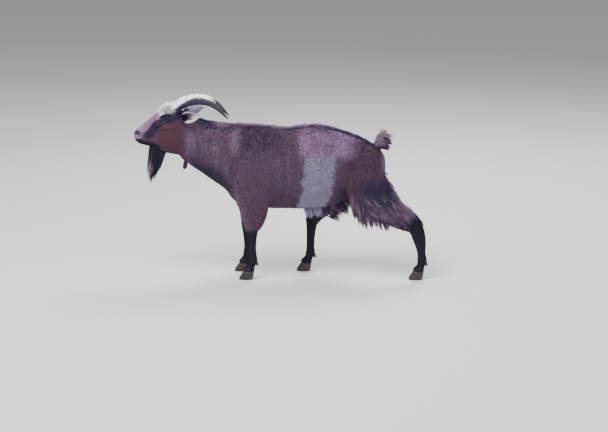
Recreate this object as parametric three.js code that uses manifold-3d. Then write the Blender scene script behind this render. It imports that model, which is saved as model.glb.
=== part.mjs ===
// A life-size goat, caught in mid walk with all four feet on the ground.
//
// Millimetres, +Z up. The goat faces -Y and its left side is +X. While it is built, y counts
// backwards from the left fore foot; the finished group is then moved so that its origin lies on
// the floor under its middle. Each region of the body is its own mesh: the flesh is modelled
// whole and parted with thin cuts.
import * as THREE from "three";
import { mergeVertices } from "three/addons/utils/BufferGeometryUtils.js";
import Module from "manifold-3d";

const wasm = await Module();
wasm.setup();

// ---------------------------------------------------------------- driving sizes
const MIDDLE_Y = 156.5; // from the left fore foot back to the middle of the whole goat
const GAP = 0.3; // between neighbouring pieces
const CLEAR = 0.45; // what hair, ears and horns keep from the flesh they grow from
const FINE = 0.18; // facets closer than this to a flat are joined
const SINK = 9; // how deep a lock's root goes into what it grows from

const CORONET_Z = 38; // top of the hooves
const EYE = { x: 41, y: -400, z: 715, r: 14.5 };
const HORN_RIDGES = 13; // growth rings on each horn

const COLOURS = {
  coat: 0x6a4f4c,
  neck: 0x6f5f5e,
  shoulder: 0x5f4a49,
  thigh: 0x4c3a3c,
  black: 0x1d191c,
  beard: 0x1f1b22,
  poll: 0xd9d2c4,
  ear: 0xb9a7a0,
  horn: 0x9a8c80,
  hoof: 0x2a2522,
  eye: 0xb98a3a,
  tail: 0x6b6266,
};

// ---------------------------------------------------------------- small tools
function seeded(seed) {
  let a = seed;
  return () => {
    a = (a + 0x6d2b79f5) | 0;
    let t = Math.imul(a ^ (a >>> 15), 1 | a);
    t = (t + Math.imul(t ^ (t >>> 7), 61 | t)) ^ t;
    return ((t ^ (t >>> 14)) >>> 0) / 4294967296;
  };
}

const vec = (x, y, z) => new THREE.Vector3(x, y, z);
const mix = (a, b, t) => a + (b - a) * t;
const along = (p, d, t) => p.clone().addScaledVector(d, t);

// A closed body from rings of points. Each end is a fan, or, for a ring that goes out along one
// side of a thin wall and back along the other, a strip between its two sides.
function loft(rings, isWall = false) {
  const sides = rings[0].length;
  const points = rings.flat();
  const first = rings.length * sides;
  const last = first - sides;
  const triangles = [];
  for (let i = 0; i < rings.length - 1; i++) {
    for (let j = 0; j < sides; j++) {
      const k = (j + 1) % sides;
      const [a, b] = [i * sides + j, i * sides + k];
      const [c, d] = [a + sides, b + sides];
      triangles.push(a, b, d, a, d, c);
    }
  }
  if (isWall) {
    for (let j = 0; j < sides / 2 - 1; j++) {
      const [a, b, c, d] = [j, j + 1, sides - 2 - j, sides - 1 - j];
      triangles.push(a, c, b, a, d, c);
      triangles.push(last + a, last + b, last + c, last + a, last + c, last + d);
    }
  } else {
    for (const ring of [rings[0], rings[rings.length - 1]]) {
      points.push(ring.reduce((sum, p) => sum.add(p), vec(0, 0, 0)).divideScalar(sides));
    }
    for (let j = 0; j < sides; j++) {
      const k = (j + 1) % sides;
      triangles.push(first, k, j, first + 1, last + j, last + k);
    }
  }
  const corners = new Float32Array(points.flatMap((p) => [p.x, p.y, p.z]));
  return solidFrom(corners, new Uint32Array(triangles));
}

// A solid that faces out, whichever way round its triangles came.
function solidFrom(vertProperties, triVerts) {
  const made = new wasm.Manifold(new wasm.Mesh({ numProp: 3, vertProperties, triVerts }));
  if (made.volume() >= 0) return made;
  for (let i = 0; i < triVerts.length; i += 3) {
    [triVerts[i + 1], triVerts[i + 2]] = [triVerts[i + 2], triVerts[i + 1]];
  }
  return new wasm.Manifold(new wasm.Mesh({ numProp: 3, vertProperties, triVerts }));
}

function solidOf(geometry) {
  const bare = geometry.index ? geometry.toNonIndexed() : geometry.clone();
  for (const name of Object.keys(bare.attributes)) {
    if (name !== "position") bare.deleteAttribute(name);
  }
  const merged = mergeVertices(bare, 1e-3);
  const corners = new Float32Array(merged.attributes.position.array);
  return solidFrom(corners, new Uint32Array(merged.index.array));
}

function geometryOf(solid) {
  const mesh = solid.getMesh();
  const positions = new Float32Array(mesh.numVert * 3);
  for (let i = 0; i < mesh.numVert; i++) {
    positions.set(mesh.vertProperties.subarray(i * mesh.numProp, i * mesh.numProp + 3), i * 3);
  }
  const geometry = new THREE.BufferGeometry();
  geometry.setAttribute("position", new THREE.BufferAttribute(positions, 3));
  geometry.setIndex(new THREE.BufferAttribute(new Uint32Array(mesh.triVerts), 1));
  geometry.computeVertexNormals();
  return geometry;
}

const union = (solids) => wasm.Manifold.union(solids);

// Its largest closed surface, which drops loose scraps and fills sealed hollows.
function largest(solid) {
  return solid.decompose().reduce((best, s) => (s.volume() > best.volume() ? s : best));
}

// The part of a solid on one side of a plane through two points of the mid plane, seen from the left:
// side 1 keeps what lies in front of it (or below, where the plane is level), side -1 the rest.
function trimmed(solid, [y0, z0], [y1, z1], side, gap = GAP) {
  const normal = new THREE.Vector2(z1 - z0, y0 - y1).normalize().multiplyScalar(side);
  const offset = normal.x * y0 + normal.y * z0 + gap / 2;
  return solid.trimByPlane([0, normal.x, normal.y], offset);
}

// A prism between two distances from the mid plane, over a convex outline of [y, z] corners.
function prism(outline, near, far) {
  const shape = new THREE.Shape(outline.map(([y, z]) => new THREE.Vector2(y, z)));
  const made = new THREE.ExtrudeGeometry(shape, { depth: Math.abs(far - near), bevelEnabled: false });
  // Shape x, y and depth become y, z and x.
  const turn = new THREE.Matrix4().makeBasis(vec(0, 1, 0), vec(0, 0, 1), vec(1, 0, 0));
  made.applyMatrix4(turn).translate(Math.min(near, far), 0, 0);
  return solidOf(made);
}

// The outline drawn in towards its middle, so that what it keeps stays clear of what it cuts away.
function drawnIn(outline, share = 0.004) {
  const count = outline.length;
  const middle = outline.reduce(([y, z], [a, b]) => [y + a / count, z + b / count], [0, 0]);
  return outline.map(([y, z]) => [mix(y, middle[0], share), mix(z, middle[1], share)]);
}

// Values between rows of a table, on a Catmull-Rom spline through every row.
function between(rows, t) {
  const at = Math.min(Math.max(t, 0), 1) * (rows.length - 1);
  const i = Math.min(Math.floor(at), rows.length - 2);
  const f = at - i;
  const before = rows[Math.max(i - 1, 0)];
  const after = rows[Math.min(i + 2, rows.length - 1)];
  return rows[i].map((_, k) => {
    const [p, q, r, s] = [before[k], rows[i][k], rows[i + 1][k], after[k]];
    return q + 0.5 * f * (r - p + f * (2 * p - 5 * q + 4 * r - s + f * (3 * (q - r) + s - p)));
  });
}

// ---------------------------------------------------------------- trunk, neck and head
// Each row is one cross-section: top y, top z, bottom y, bottom z, half width, height of the
// widest line as a share of the section, and how square its sides are (2 is an ellipse).
const TRUNK = [
  [-88, 690, -100, 436, 82, 0.5, 2.1], // front of the chest
  [-56, 710, -78, 372, 110, 0.46, 2.1],
  [-10, 708, -30, 330, 119, 0.42, 2.1], // shoulders
  [50, 705, 40, 317, 127, 0.42, 2.15], // withers
  [120, 697, 118, 314, 137, 0.43, 2.2],
  [190, 693, 192, 314, 143, 0.44, 2.25], // back
  [260, 702, 262, 312, 145, 0.45, 2.25],
  [325, 706, 328, 312, 140, 0.46, 2.25], // loin
  [390, 690, 388, 328, 128, 0.5, 2.2],
  [455, 670, 446, 354, 119, 0.55, 2.15], // flank
  [520, 643, 512, 386, 112, 0.58, 2.1], // croup
  [570, 614, 568, 412, 102, 0.58, 2.1],
  [604, 592, 606, 436, 86, 0.56, 2.1],
  [624, 562, 628, 470, 56, 0.55, 2.1], // under the tail
];
const NECK = [
  [-312, 748, -322, 566, 44, 0.5, 2.1], // inside the head
  [-270, 752, -288, 536, 54, 0.5, 2.15],
  [-222, 742, -246, 503, 63, 0.48, 2.15],
  [-170, 724, -200, 472, 74, 0.46, 2.15],
  [-118, 715, -156, 440, 86, 0.44, 2.15],
  [-70, 711, -114, 412, 99, 0.43, 2.15],
  [-16, 702, -66, 372, 104, 0.43, 2.1], // inside the chest
];
const HEAD = [
  [-513, 664, -512, 646, 12, 0.5, 2.2], // tip of the nose
  [-510, 674, -507, 631, 23, 0.52, 2.4],
  [-497, 687, -493, 617, 28, 0.54, 2.5], // nostrils
  [-478, 702, -473, 609, 30, 0.5, 2.4], // chin
  [-455, 720, -444, 602, 32, 0.46, 2.3],
  [-430, 742, -414, 590, 37, 0.5, 2.2],
  [-403, 763, -385, 576, 47, 0.61, 2.3], // eyes
  [-371, 777, -351, 568, 54, 0.59, 2.25], // cheeks
  [-337, 781, -318, 562, 57, 0.54, 2.2],
  [-302, 774, -290, 558, 56, 0.5, 2.1], // poll and jaw angle
  [-262, 752, -256, 560, 48, 0.5, 2.1],
  [-222, 730, -226, 582, 34, 0.5, 2.1], // inside the neck
];

// A point on a section, at an angle that counts up from the goat's left.
function onSection(row, angle, grow = 0) {
  const [topY, topZ, bottomY, bottomZ, half, waist, square] = row;
  const up = vec(0, topY - bottomY, topZ - bottomZ);
  const height = up.length();
  up.normalize();
  const [c, s] = [Math.cos(angle), Math.sin(angle)];
  const power = 2 / square;
  const side = Math.sign(c) * Math.abs(c) ** power * (half + grow);
  const rise = Math.sign(s) * Math.abs(s) ** power * (height * (s > 0 ? 1 - waist : waist) + grow);
  return vec(side, mix(bottomY, topY, waist), mix(bottomZ, topZ, waist)).addScaledVector(up, rise);
}

function sectionLoft(rows, rings, sides, grow = 0) {
  return loft(
    Array.from({ length: rings }, (_, i) => {
      const row = between(rows, i / (rings - 1));
      return Array.from({ length: sides }, (_, j) => onSection(row, (2 * Math.PI * j) / sides, grow));
    }),
  );
}

// Where a lock may grow on such a body: the point, the way out of it, and the way back along it.
function rootOnSections(rows, t, angle) {
  const step = 1e-3;
  const at = onSection(between(rows, t), angle);
  const [row, next] = [between(rows, t), between(rows, t + step)];
  const back = onSection(next, angle).sub(onSection(row, angle)).normalize();
  const round = onSection(row, angle + step).sub(onSection(row, angle - step));
  return { at, back, out: back.clone().cross(round).normalize() };
}

// ---------------------------------------------------------------- limbs
// Each row is: distance from the mid plane, y, z, half depth fore and aft, half width.
const FORE_LEG = [
  [58, 28, 655, 26, 12], // top of the shoulder blade
  [76, 22, 600, 52, 31],
  [88, 10, 530, 72, 42],
  [93, 6, 462, 78, 46], // point of the shoulder
  [95, 16, 402, 79, 43],
  [95, 30, 350, 74, 38], // elbow
  [93, 32, 304, 64, 32],
  [89, 28, 262, 49, 26],
  [86, 22, 228, 33, 25], // knee
  [85, 22, 198, 26, 22],
  [84, 23, 158, 21, 18],
  [84, 25, 118, 20, 18],
  [84, 25, 90, 24, 22], // fetlock
  [84, 18, 64, 20, 20],
  [84, 8, 40, 26, 27],
  [84, 2, 20, 26, 26],
];
const STRETCHED_HIND_LEG = [
  [54, 512, 606, 58, 26],
  [68, 520, 556, 88, 46],
  [84, 532, 490, 100, 58], // thigh
  [99, 554, 422, 106, 48],
  [100, 598, 364, 90, 40], // stifle in front
  [96, 648, 328, 70, 32],
  [92, 700, 294, 56, 28],
  [90, 744, 266, 46, 27], // hock
  [88, 771, 236, 38, 24],
  [88, 784, 198, 34, 21],
  [88, 793, 156, 27, 19],
  [88, 797, 120, 21, 18],
  [88, 800, 90, 24, 22], // fetlock
  [88, 794, 62, 20, 20],
  [88, 784, 40, 27, 27],
  [88, 778, 20, 27, 26],
];
const FORWARD_HIND_LEG = [
  [54, 512, 606, 58, 26],
  [68, 500, 556, 90, 48],
  [84, 468, 498, 106, 58], // thigh
  [99, 424, 440, 100, 46],
  [98, 390, 384, 90, 41], // stifle
  [95, 360, 334, 76, 34],
  [92, 328, 290, 56, 29],
  [89, 302, 250, 36, 25], // hock
  [88, 295, 212, 28, 21],
  [88, 292, 172, 23, 18],
  [88, 290, 132, 21, 17],
  [88, 290, 106, 21, 19],
  [88, 290, 88, 24, 22], // fetlock
  [88, 282, 62, 20, 20],
  [88, 271, 40, 27, 27],
  [88, 265, 20, 27, 26],
];

function limbPoint(rows, t, angle, side, grow = 0) {
  const step = 1e-3;
  const [x, y, z, deep, wide] = between(rows, t);
  const [before, after] = [between(rows, t - step), between(rows, t + step)];
  const path = new THREE.Vector2(after[1] - before[1], after[2] - before[2]).normalize();
  const front = vec(0, path.y, -path.x); // square to the path, towards the goat's nose
  const middle = vec(side * (x + (wide + grow) * Math.cos(angle)), y, z);
  return middle.addScaledVector(front, (deep + grow) * Math.sin(angle));
}

function limbLoft(rows, rings, sides, side, grow = 0) {
  const point = (i, j) => limbPoint(rows, i / (rings - 1), (2 * Math.PI * j) / sides, side, grow);
  return loft(
    Array.from({ length: rings }, (_, i) => Array.from({ length: sides }, (_, j) => point(i, j))),
  );
}

function rootOnLimb(rows, t, angle, side) {
  const step = 1e-3;
  const at = limbPoint(rows, t, angle, side);
  const down = limbPoint(rows, t + step, angle, side).sub(at).normalize();
  const [x, y, z] = between(rows, t);
  const out = at.clone().sub(vec(side * x, y, z)).normalize();
  return { at, back: down, out };
}

// ---------------------------------------------------------------- locks of hair
const LOCK = { lift: 5, droop: 0, thick: 0.2, steps: 4, sink: SINK, slope: 0.3 };

// A flat, tapered lock with a low ridge: it starts under the skin, comes out at a shallow angle,
// bends over along its lie and ends in a point that droops.
function lock(sizes) {
  const { root, lie, length, width, lift, droop, thick, steps, sink, slope } = { ...LOCK, ...sizes };
  const heading = lie.clone().normalize();
  const out = along(root.out, heading, -root.out.dot(heading)).normalize();
  const at = (outwards, ahead, down) => {
    const p = along(along(root.at, out, outwards), heading, length * ahead);
    return p.add(vec(0, 0, -down));
  };
  const curve = new THREE.CubicBezierCurve3(
    along(at(0, -0.1, 0), root.out, -sink),
    at(mix(lift, -sink, slope), 0.2, 0),
    at(lift * 1.4, 0.6, droop * 0.35),
    at(lift * 0.6, 1, droop),
  );
  const rings = [];
  for (let i = 0; i <= steps; i++) {
    const t = i / steps;
    const path = curve.getTangent(t);
    const across = path.clone().cross(out).normalize();
    const face = across.clone().cross(path).normalize();
    const half = (width / 2) * (t < 0.4 ? mix(0.6, 1, t / 0.4) : 1.04 - ((t - 0.4) / 0.6) ** 1.5);
    const p = curve.getPoint(t);
    const ridge = along(p, face, half * thick * 1.6 + 0.6);
    rings.push([along(p, across, half), ridge, along(along(p, across, -half), face, -0.3)]);
  }
  return loft(rings);
}

// ---------------------------------------------------------------- the flesh, whole
// The head with the rims of its eye sockets and the swell of its lips and nostrils.
function headFlesh(grow = 0) {
  const parts = [sectionLoft(HEAD, 19, 18, grow)];
  const swell = (side, [x, y, z], radii, pitch, detail) =>
    parts.push(ellipsoid(side * x, y, z, ...radii.map((r) => r + grow), pitch, detail));
  for (const side of [1, -1]) {
    swell(side, [EYE.x - 1, EYE.y, EYE.z], [EYE.r + 3.4, EYE.r + 7, EYE.r + 4.5], 0.5, 12); // lids
    swell(side, [EYE.x - 12, EYE.y + 10, EYE.z + 13], [21, 32, 16], 0.5, 9); // brow
    swell(side, [15, -497, 666], [12, 13, 9], 0.6, 8); // nostril's wing
  }
  return union(parts);
}

const HIND_LEGS = { 1: STRETCHED_HIND_LEG, [-1]: FORWARD_HIND_LEG };
const FAR_FORE_STEP = -26; // the right fore foot stands this much further forward
const foreLegRows = (side) =>
  FORE_LEG.map(([x, y, ...rest], i) => {
    const lower = Math.min(Math.max((i - 3) / 5, 0), 1);
    return [x, y + (side < 0 ? FAR_FORE_STEP * lower : 0), ...rest];
  });
// The hams below the pin bones, each following the back of its own leg: x, y, z, radii, pitch.
const BUTTOCKS = {
  1: [58, 576, 474, 62, 58, 112, 0],
  [-1]: [56, 540, 488, 54, 54, 112, -0.42],
};

function ellipsoid(x, y, z, rx, ry, rz, pitch = 0, detail = 14) {
  const ball = new THREE.SphereGeometry(1, detail, Math.round(detail * 0.7));
  ball.scale(rx, ry, rz).rotateX(pitch).translate(x, y, z);
  return solidOf(ball);
}

// The whole body below its hair, or, for cutting other pieces clear of it, a little larger all over.
function wholeFlesh(grow = 0) {
  const parts = [sectionLoft(TRUNK, 21, 20, grow), sectionLoft(NECK, 10, 18, grow)];
  parts.push(headFlesh(grow));
  for (const side of [1, -1]) {
    parts.push(limbLoft(foreLegRows(side), 26, 12, side, grow));
    parts.push(limbLoft(HIND_LEGS[side], 26, 12, side, grow));
    const [x, y, z, rx, ry, rz, pitch] = BUTTOCKS[side];
    parts.push(ellipsoid(side * x, y, z, rx + grow, ry + grow, rz + grow, pitch, 10));
  }
  return union(parts);
}

// ---------------------------------------------------------------- where the body is parted
const HEAD_CUT = [[-245, 806], [-290, 500]];
const NECK_CUT = [[-92, 760], [-128, 380]];
const WIDE = 300; // further out than any flesh

// What a fore leg takes with it: the shoulder blade's side of the chest, and all that hangs
// below the chest.
const SHOULDER_OUTLINE = [
  [8, 668], [52, 662], [92, 420], [104, 300], [-74, 300], [-82, 470], [-30, 640],
];
const BELOW_CHEST = [[118, 316], [118, -10], [-90, -10], [-90, 316]];
// What a hind leg takes with it: the thigh's side of the rump, and all that hangs below.
const THIGH_OUTLINE = {
  1: [
    [452, 380], [470, 540], [520, 622], [600, 590],
    [660, 520], [690, 330], [560, 250], [440, 300],
  ],
  [-1]: [
    [345, 420], [420, 540], [520, 622], [600, 590],
    [640, 500], [600, 380], [470, 260], [300, 270],
  ],
};
const BELOW_RUMP = {
  1: [[470, 352], [700, 440], [900, 330], [900, -10], [450, -10]],
  [-1]: [[262, 300], [480, 372], [560, 330], [560, -10], [230, -10]],
};

function region(side, outline, below, inner, tight) {
  const [upper, lower] = tight ? [drawnIn(outline), drawnIn(below)] : [outline, below];
  const slack = tight ? GAP : 0;
  return union([
    prism(upper, side * (inner + slack), side * WIDE),
    prism(lower, side * (6 + slack), side * WIDE),
  ]);
}

// ---------------------------------------------------------------- the scene graph
const goat = new THREE.Group();

function add(name, solid, colour, roughness = 0.9) {
  const material = new THREE.MeshStandardMaterial({ color: COLOURS[colour], roughness, metalness: 0 });
  const mesh = new THREE.Mesh(geometryOf(largest(largest(solid).simplify(FINE))), material);
  mesh.name = name;
  goat.add(mesh);
}

const SIDE_NAMES = { 1: "left", [-1]: "right" };

// ---------------------------------------------------------------- torso, neck, shoulders and thighs
const flesh = wholeFlesh();
const keepOff = wholeFlesh(CLEAR);
const headBase = trimmed(flesh, ...HEAD_CUT, 1);
const behindHead = trimmed(flesh, ...HEAD_CUT, -1);
const neckBase = trimmed(behindHead, ...NECK_CUT, 1);
const bodyBase = trimmed(behindHead, ...NECK_CUT, -1);

const SHOULDER_INNER = 52;
const THIGH_INNER = 24;
const limbRegions = union(
  [1, -1].flatMap((side) => [
    region(side, SHOULDER_OUTLINE, BELOW_CHEST, SHOULDER_INNER, false),
    region(side, THIGH_OUTLINE[side], BELOW_RUMP[side], THIGH_INNER, false),
  ]),
);
const torso = largest(bodyBase.subtract(limbRegions));

// Longer hair that stands along the back, and the fringe that hangs from the belly below the white belt.
function bodyLocks() {
  const random = seeded(71);
  const locks = [];
  for (let i = 0; i < 8; i++) {
    const lean = ((i % 3) - 1) * 0.22;
    const t = mix(0.16, 0.76, (i + 0.4 * random()) / 8);
    const root = rootOnSections(TRUNK, t, Math.PI / 2 - lean);
    const lie = along(vec(lean * 0.8, 0, 0), root.back, 1);
    const length = mix(52, 66, random());
    locks.push(lock({ root, lie, length, width: 24, lift: 6, steps: 3 }));
  }
  for (const [row, lean] of [[0, -0.4], [1, 0], [2, 0.4]]) {
    for (let i = 0; i < 4; i++) {
      const t = mix(0.515, 0.665, (i + 0.33 * row + 0.2 * random()) / 4);
      const root = rootOnSections(TRUNK, t, -Math.PI / 2 + lean);
      const lie = vec(lean * 0.35, 0.3, -0.95);
      const length = mix(44, 60, random()) * (row === 1 ? 1 : 1.12);
      locks.push(lock({ root, lie, length, width: 30, lift: 3, droop: 3, steps: 3 }));
    }
  }
  return union(locks);
}

// ---------------------------------------------------------------- legs below the body
const CUTS = {
  elbow: [[-120, 322], [140, 322]],
  knee: [[-120, 252], [140, 252]],
  foreFetlock: [[-120, 104], [140, 104]],
  coronet: [[-200, CORONET_Z], [1000, CORONET_Z]],
};
const HOCK_CUT = { 1: [[690, 226], [790, 318]], [-1]: [[240, 284], [400, 284]] };
const HIND_FETLOCK_CUT = { 1: [[740, 106], [880, 106]], [-1]: [[230, 106], [380, 106]] };

// The breeches: long hair over the thigh that hangs from the gaskin. Rows: how far down the leg,
// length, how far it sweeps back, and where round the leg each lock is rooted (0 is outside, 1.57
// the front or underside of the leg, -1.57 its back).
const BREECHES = {
  1: [
    [0.16, 134, -0.1, [1.1, 1.6]],
    [0.19, 124, 0, [0.5, 1.05, 1.5]],
    [0.22, 104, 0, [1.2, 1.65]],
    [0.25, 84, 0.1, [-1.5, 0.2, 0.8, 1.35]],
    [0.295, 60, 0.2, [-1.4, -0.4, 0.5, 1.1]],
    [0.345, 56, 0.3, [-1.5, 0.1, 0.8, 1.4]],
    [0.395, 56, 0.3, [-1.2, -0.2, 0.7, 1.3]],
    [0.435, 50, 0.2, [0.5]],
  ],
  [-1]: [
    [0.21, 66, 0.1, [-0.9, -1.5]],
    [0.26, 74, 0.1, [-0.5, -1.1, -1.7]],
    [0.31, 72, 0.1, [-0.3, -0.9, -1.5, -2.1]],
    [0.355, 62, 0.1, [-0.6, -1.2, -1.8]],
    [0.395, 54, 0.1, [-0.9, -1.6]],
  ],
};

function breeches(side) {
  const random = seeded(side > 0 ? 31 : 37);
  const locks = [];
  for (const [t, length, sweep, angles] of BREECHES[side]) {
    for (const angle of angles) {
      const place = [t + (random() - 0.5) * 0.03, angle + (random() - 0.5) * 0.3];
      const root = rootOnLimb(HIND_LEGS[side], ...place, side);
      const lie = along(vec(side * 0.04, sweep, -0.7), root.back, mix(0.7, 1.6, random()));
      const [reach, width] = [length * mix(0.85, 1.2, random()), mix(32, 44, random())];
      locks.push(lock({ root, lie, length: reach, width, lift: 6, droop: 10, sink: 12 }));
    }
  }
  return union(locks);
}

// One claw of a cloven hoof: a flat sole, a sloping front wall and a rounded heel.
function claw(x, y, inner) {
  const levels = [
    [0, 0, 31, 12.5],
    [4, 1.4, 31, 13],
    [20, 8, 28, 12.6],
    [CORONET_Z - GAP, 15, 23, 11.8],
  ];
  const point = ([z, back, deep, wide], i) => {
    const a = (Math.PI * i) / 6;
    const toe = Math.max(0, Math.cos(a));
    const flat = Math.sin(a) * inner < 0 ? 0.82 : 1; // the walls that face each other are flatter
    const across = Math.sin(a) * wide * flat * (1 - 0.38 * toe ** 2);
    return vec(x + across, y + back - Math.cos(a) * deep, z);
  };
  return loft(levels.map((level) => Array.from({ length: 12 }, (_, i) => point(level, i))));
}

function dewclaw(x, y, z, side, grow = 0) {
  const [start, end] = [vec(x, y, z), vec(x + side * 2, y + 9, z - 12)];
  const ahead = end.clone().sub(start).normalize();
  const across = vec(1, 0, 0);
  const up = ahead.clone().cross(across).normalize();
  const ring = (at, r) =>
    Array.from({ length: 6 }, (_, i) => {
      const a = (Math.PI * i) / 3;
      return along(along(at, across, (r * 0.85 + grow) * Math.cos(a)), up, (r + grow) * Math.sin(a));
    });
  const middle = start.clone().lerp(end, 0.6);
  return loft([ring(along(start, ahead, -grow), 7), ring(middle, 6.2), ring(along(end, ahead, grow), 3)]);
}

function addFoot(name, rows, side, fetlock, pasternSolid) {
  const footY = rows[rows.length - 2][1] - 15;
  const footX = rows[rows.length - 2][0];
  for (const [label, inner] of [["inner", -1], ["outer", 1]]) {
    add(`hoof_${name}_${label}`, claw(side * (footX + inner * 13.6), footY, side * inner), "hoof", 0.55);
  }
  let pastern = pasternSolid;
  for (const [label, inner] of [["inner", -1], ["outer", 1]]) {
    const [, y, z, deep] = fetlock;
    const place = [side * (footX + inner * 12), y + deep - 9, z - 12, side * inner];
    add(`dewclaw_${name}_${label}`, dewclaw(...place), "hoof", 0.55);
    pastern = pastern.subtract(dewclaw(...place, CLEAR));
  }
  add(`pastern_${name}`, pastern, "black");
}

for (const side of [1, -1]) {
  const name = SIDE_NAMES[side];
  // Fore leg
  const foreOwn = region(side, SHOULDER_OUTLINE, BELOW_CHEST, SHOULDER_INNER, true);
  const fore = largest(bodyBase.intersect(foreOwn));
  add(`shoulder_${name}`, trimmed(fore, ...CUTS.elbow, -1), "shoulder");
  const lower = trimmed(fore, ...CUTS.elbow, 1);
  add(`forearm_${name}`, trimmed(lower, ...CUTS.knee, -1), "shoulder");
  const belowKnee = trimmed(lower, ...CUTS.knee, 1);
  add(`cannon_fore_${name}`, trimmed(belowKnee, ...CUTS.foreFetlock, -1), "black");
  const foreRows = foreLegRows(side);
  const forePastern = trimmed(trimmed(belowKnee, ...CUTS.foreFetlock, 1), ...CUTS.coronet, -1);
  addFoot(`fore_${name}`, foreRows, side, foreRows[12], forePastern);
  // Hind leg
  const rows = HIND_LEGS[side];
  const own = region(side, THIGH_OUTLINE[side], BELOW_RUMP[side], THIGH_INNER, true);
  const hind = largest(bodyBase.intersect(own));
  const cannonAndBelow = trimmed(hind, ...HOCK_CUT[side], 1);
  const thigh = trimmed(hind, ...HOCK_CUT[side], -1);
  const belowHock = trimmed(keepOff.intersect(own), ...HOCK_CUT[side], 1, 0);
  const others = [keepOff.subtract(own), belowHock];
  add(`thigh_${name}`, thigh.add(breeches(side).subtract(union(others))), "thigh");
  add(`cannon_hind_${name}`, trimmed(cannonAndBelow, ...HIND_FETLOCK_CUT[side], -1), "black");
  const hindPastern = trimmed(trimmed(cannonAndBelow, ...HIND_FETLOCK_CUT[side], 1), ...CUTS.coronet, -1);
  addFoot(`hind_${name}`, rows, side, rows[12], hindPastern);
}

add("neck", neckBase, "neck");
add("torso", torso.add(bodyLocks().subtract(keepOff.intersect(limbRegions))), "coat");

// ---------------------------------------------------------------- head
// The lower jaw is what lies under the mouth line, back to the cheek.
const JAW_OUTLINE = [[-530, 641], [-442, 630], [-398, 612], [-372, 580], [-372, 540], [-530, 540]];
const MOUTH_GROOVE = [[-530, 643.5], [-440, 631], [-439, 629], [-530, 638.5]];

// The horns rise from the poll, arch back and end over the neck. Rows: x, y, z, half depth, half width.
const HORN_PATH = [
  [21, -336, 742, 23, 19],
  [26, -323, 777, 22.5, 18.5],
  [30, -291, 802, 21.5, 17.5],
  [34, -248, 815, 20.5, 16.5],
  [38, -205, 817, 19, 15],
  [42, -165, 807, 15.6, 12.6],
  [46, -131, 784, 11.2, 9.2],
  [49, -104, 758, 6.8, 5.8],
  [51, -84, 736, 2.6, 2.2],
];

function hornSolid(side, grow = 0) {
  const steps = 2 * HORN_RIDGES;
  return loft(
    Array.from({ length: steps + 1 }, (_, i) => {
      const t = i / steps;
      const [x, y, z, deep, wide] = between(HORN_PATH, t);
      const path = vec(...between(HORN_PATH, t + 1e-3)).sub(vec(...between(HORN_PATH, t - 1e-3)));
      const across = vec(1, 0, 0).addScaledVector(path.normalize(), -path.x).normalize();
      const face = across.clone().cross(path);
      const ridge = i % 2 && t < 0.85 ? 0.94 : 1;
      return Array.from({ length: 10 }, (_, j) => {
        const a = (Math.PI * j) / 5;
        const p = along(vec(x, y, z), across, (wide * ridge + grow) * Math.cos(a));
        p.addScaledVector(face, (deep * ridge + grow) * Math.sin(a));
        return vec(side * p.x, p.y, p.z);
      });
    }),
  );
}

// The ears are held out and back, each a leaf rolled into a cup that is nearly a tube at its root.
// Rows: half width, half angle of the cup in degrees, wall.
const EAR_ROWS = [
  [12, 130, 5],
  [16, 120, 4.6],
  [22, 104, 4.2],
  [26, 86, 4],
  [26, 72, 3.8],
  [22, 62, 3.4],
  [14, 54, 3],
  [3, 46, 1.4],
];

function earSolid(side) {
  const [root, bend, tip] = [vec(42, -289, 741), vec(92, -266, 752), vec(131, -203, 765)];
  const path = new THREE.QuadraticBezierCurve3(root, bend, tip);
  const opening = vec(0.8, -0.48, -0.12);
  const rings = Array.from({ length: 10 }, (_, i) => {
    const t = i / 9;
    const [half, degrees, wall] = between(EAR_ROWS, t);
    const ahead = path.getTangent(t);
    const mouth = along(opening, ahead, -opening.dot(ahead)).normalize();
    const wide = ahead.clone().cross(mouth);
    const turn = THREE.MathUtils.degToRad(degrees);
    const r = degrees < 90 ? half / Math.sin(turn) : half;
    const centre = along(path.getPoint(t), mouth, (r * (1 + Math.cos(turn))) / 2);
    const point = (a, radius) =>
      along(along(centre, wide, radius * Math.sin(a)), mouth, -radius * Math.cos(a));
    const arc = Array.from({ length: 7 }, (_, j) => turn * (j / 3 - 1));
    const outside = arc.map((a) => point(a, r));
    const inside = arc.reverse().map((a) => point(a * 0.96, r - Math.min(wall, r * 0.4)));
    return [...outside, ...inside].map((p) => vec(side * p.x, p.y, p.z));
  });
  return loft(rings, true);
}

// A tuft of cream hair stands on the poll and falls forward over the brow. Rows: y, z, length,
// how far each lock leans to a side.
const FORELOCK = [
  [-348, 789, 40, [-0.5, 0.5]],
  [-360, 787, 40, [-1, -0.1, 0.9]],
  [-370, 782, 34, [-0.6, 0.5]],
  [-338, 791, 38, [-1.1, 0, 1.1]],
];

function forelockSolid() {
  const random = seeded(11);
  const parts = [ellipsoid(0, -352, 779, 27, 30, 21, 0.25, 10)];
  for (const [y, z, length, leans] of FORELOCK) {
    for (const lean of leans) {
      const out = vec(lean * 0.35, -0.25, 1).normalize();
      const root = { at: vec(lean * 14, y, z - Math.abs(lean) * 4), out };
      const lie = vec(lean * 0.75, y < -340 ? -0.8 : 0.3, 0.1);
      const reach = length * mix(0.9, 1.1, random());
      const shape = { width: 27, lift: 13, droop: 14, sink: 10, thick: 0.3, slope: 0 };
      parts.push(lock({ root, lie, length: reach, ...shape }));
    }
  }
  return union(parts);
}

// The beard hangs from the chin in pointed locks. Rows: y, length, where across the jaw each lock
// is rooted.
const BEARD = [
  [-438, 108, [-5, 5]],
  [-427, 138, [-13, 0, 13]],
  [-414, 150, [-15, -5, 5, 15]],
  [-400, 136, [-12, 1, 12]],
  [-390, 112, [-6, 7]],
];

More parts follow.
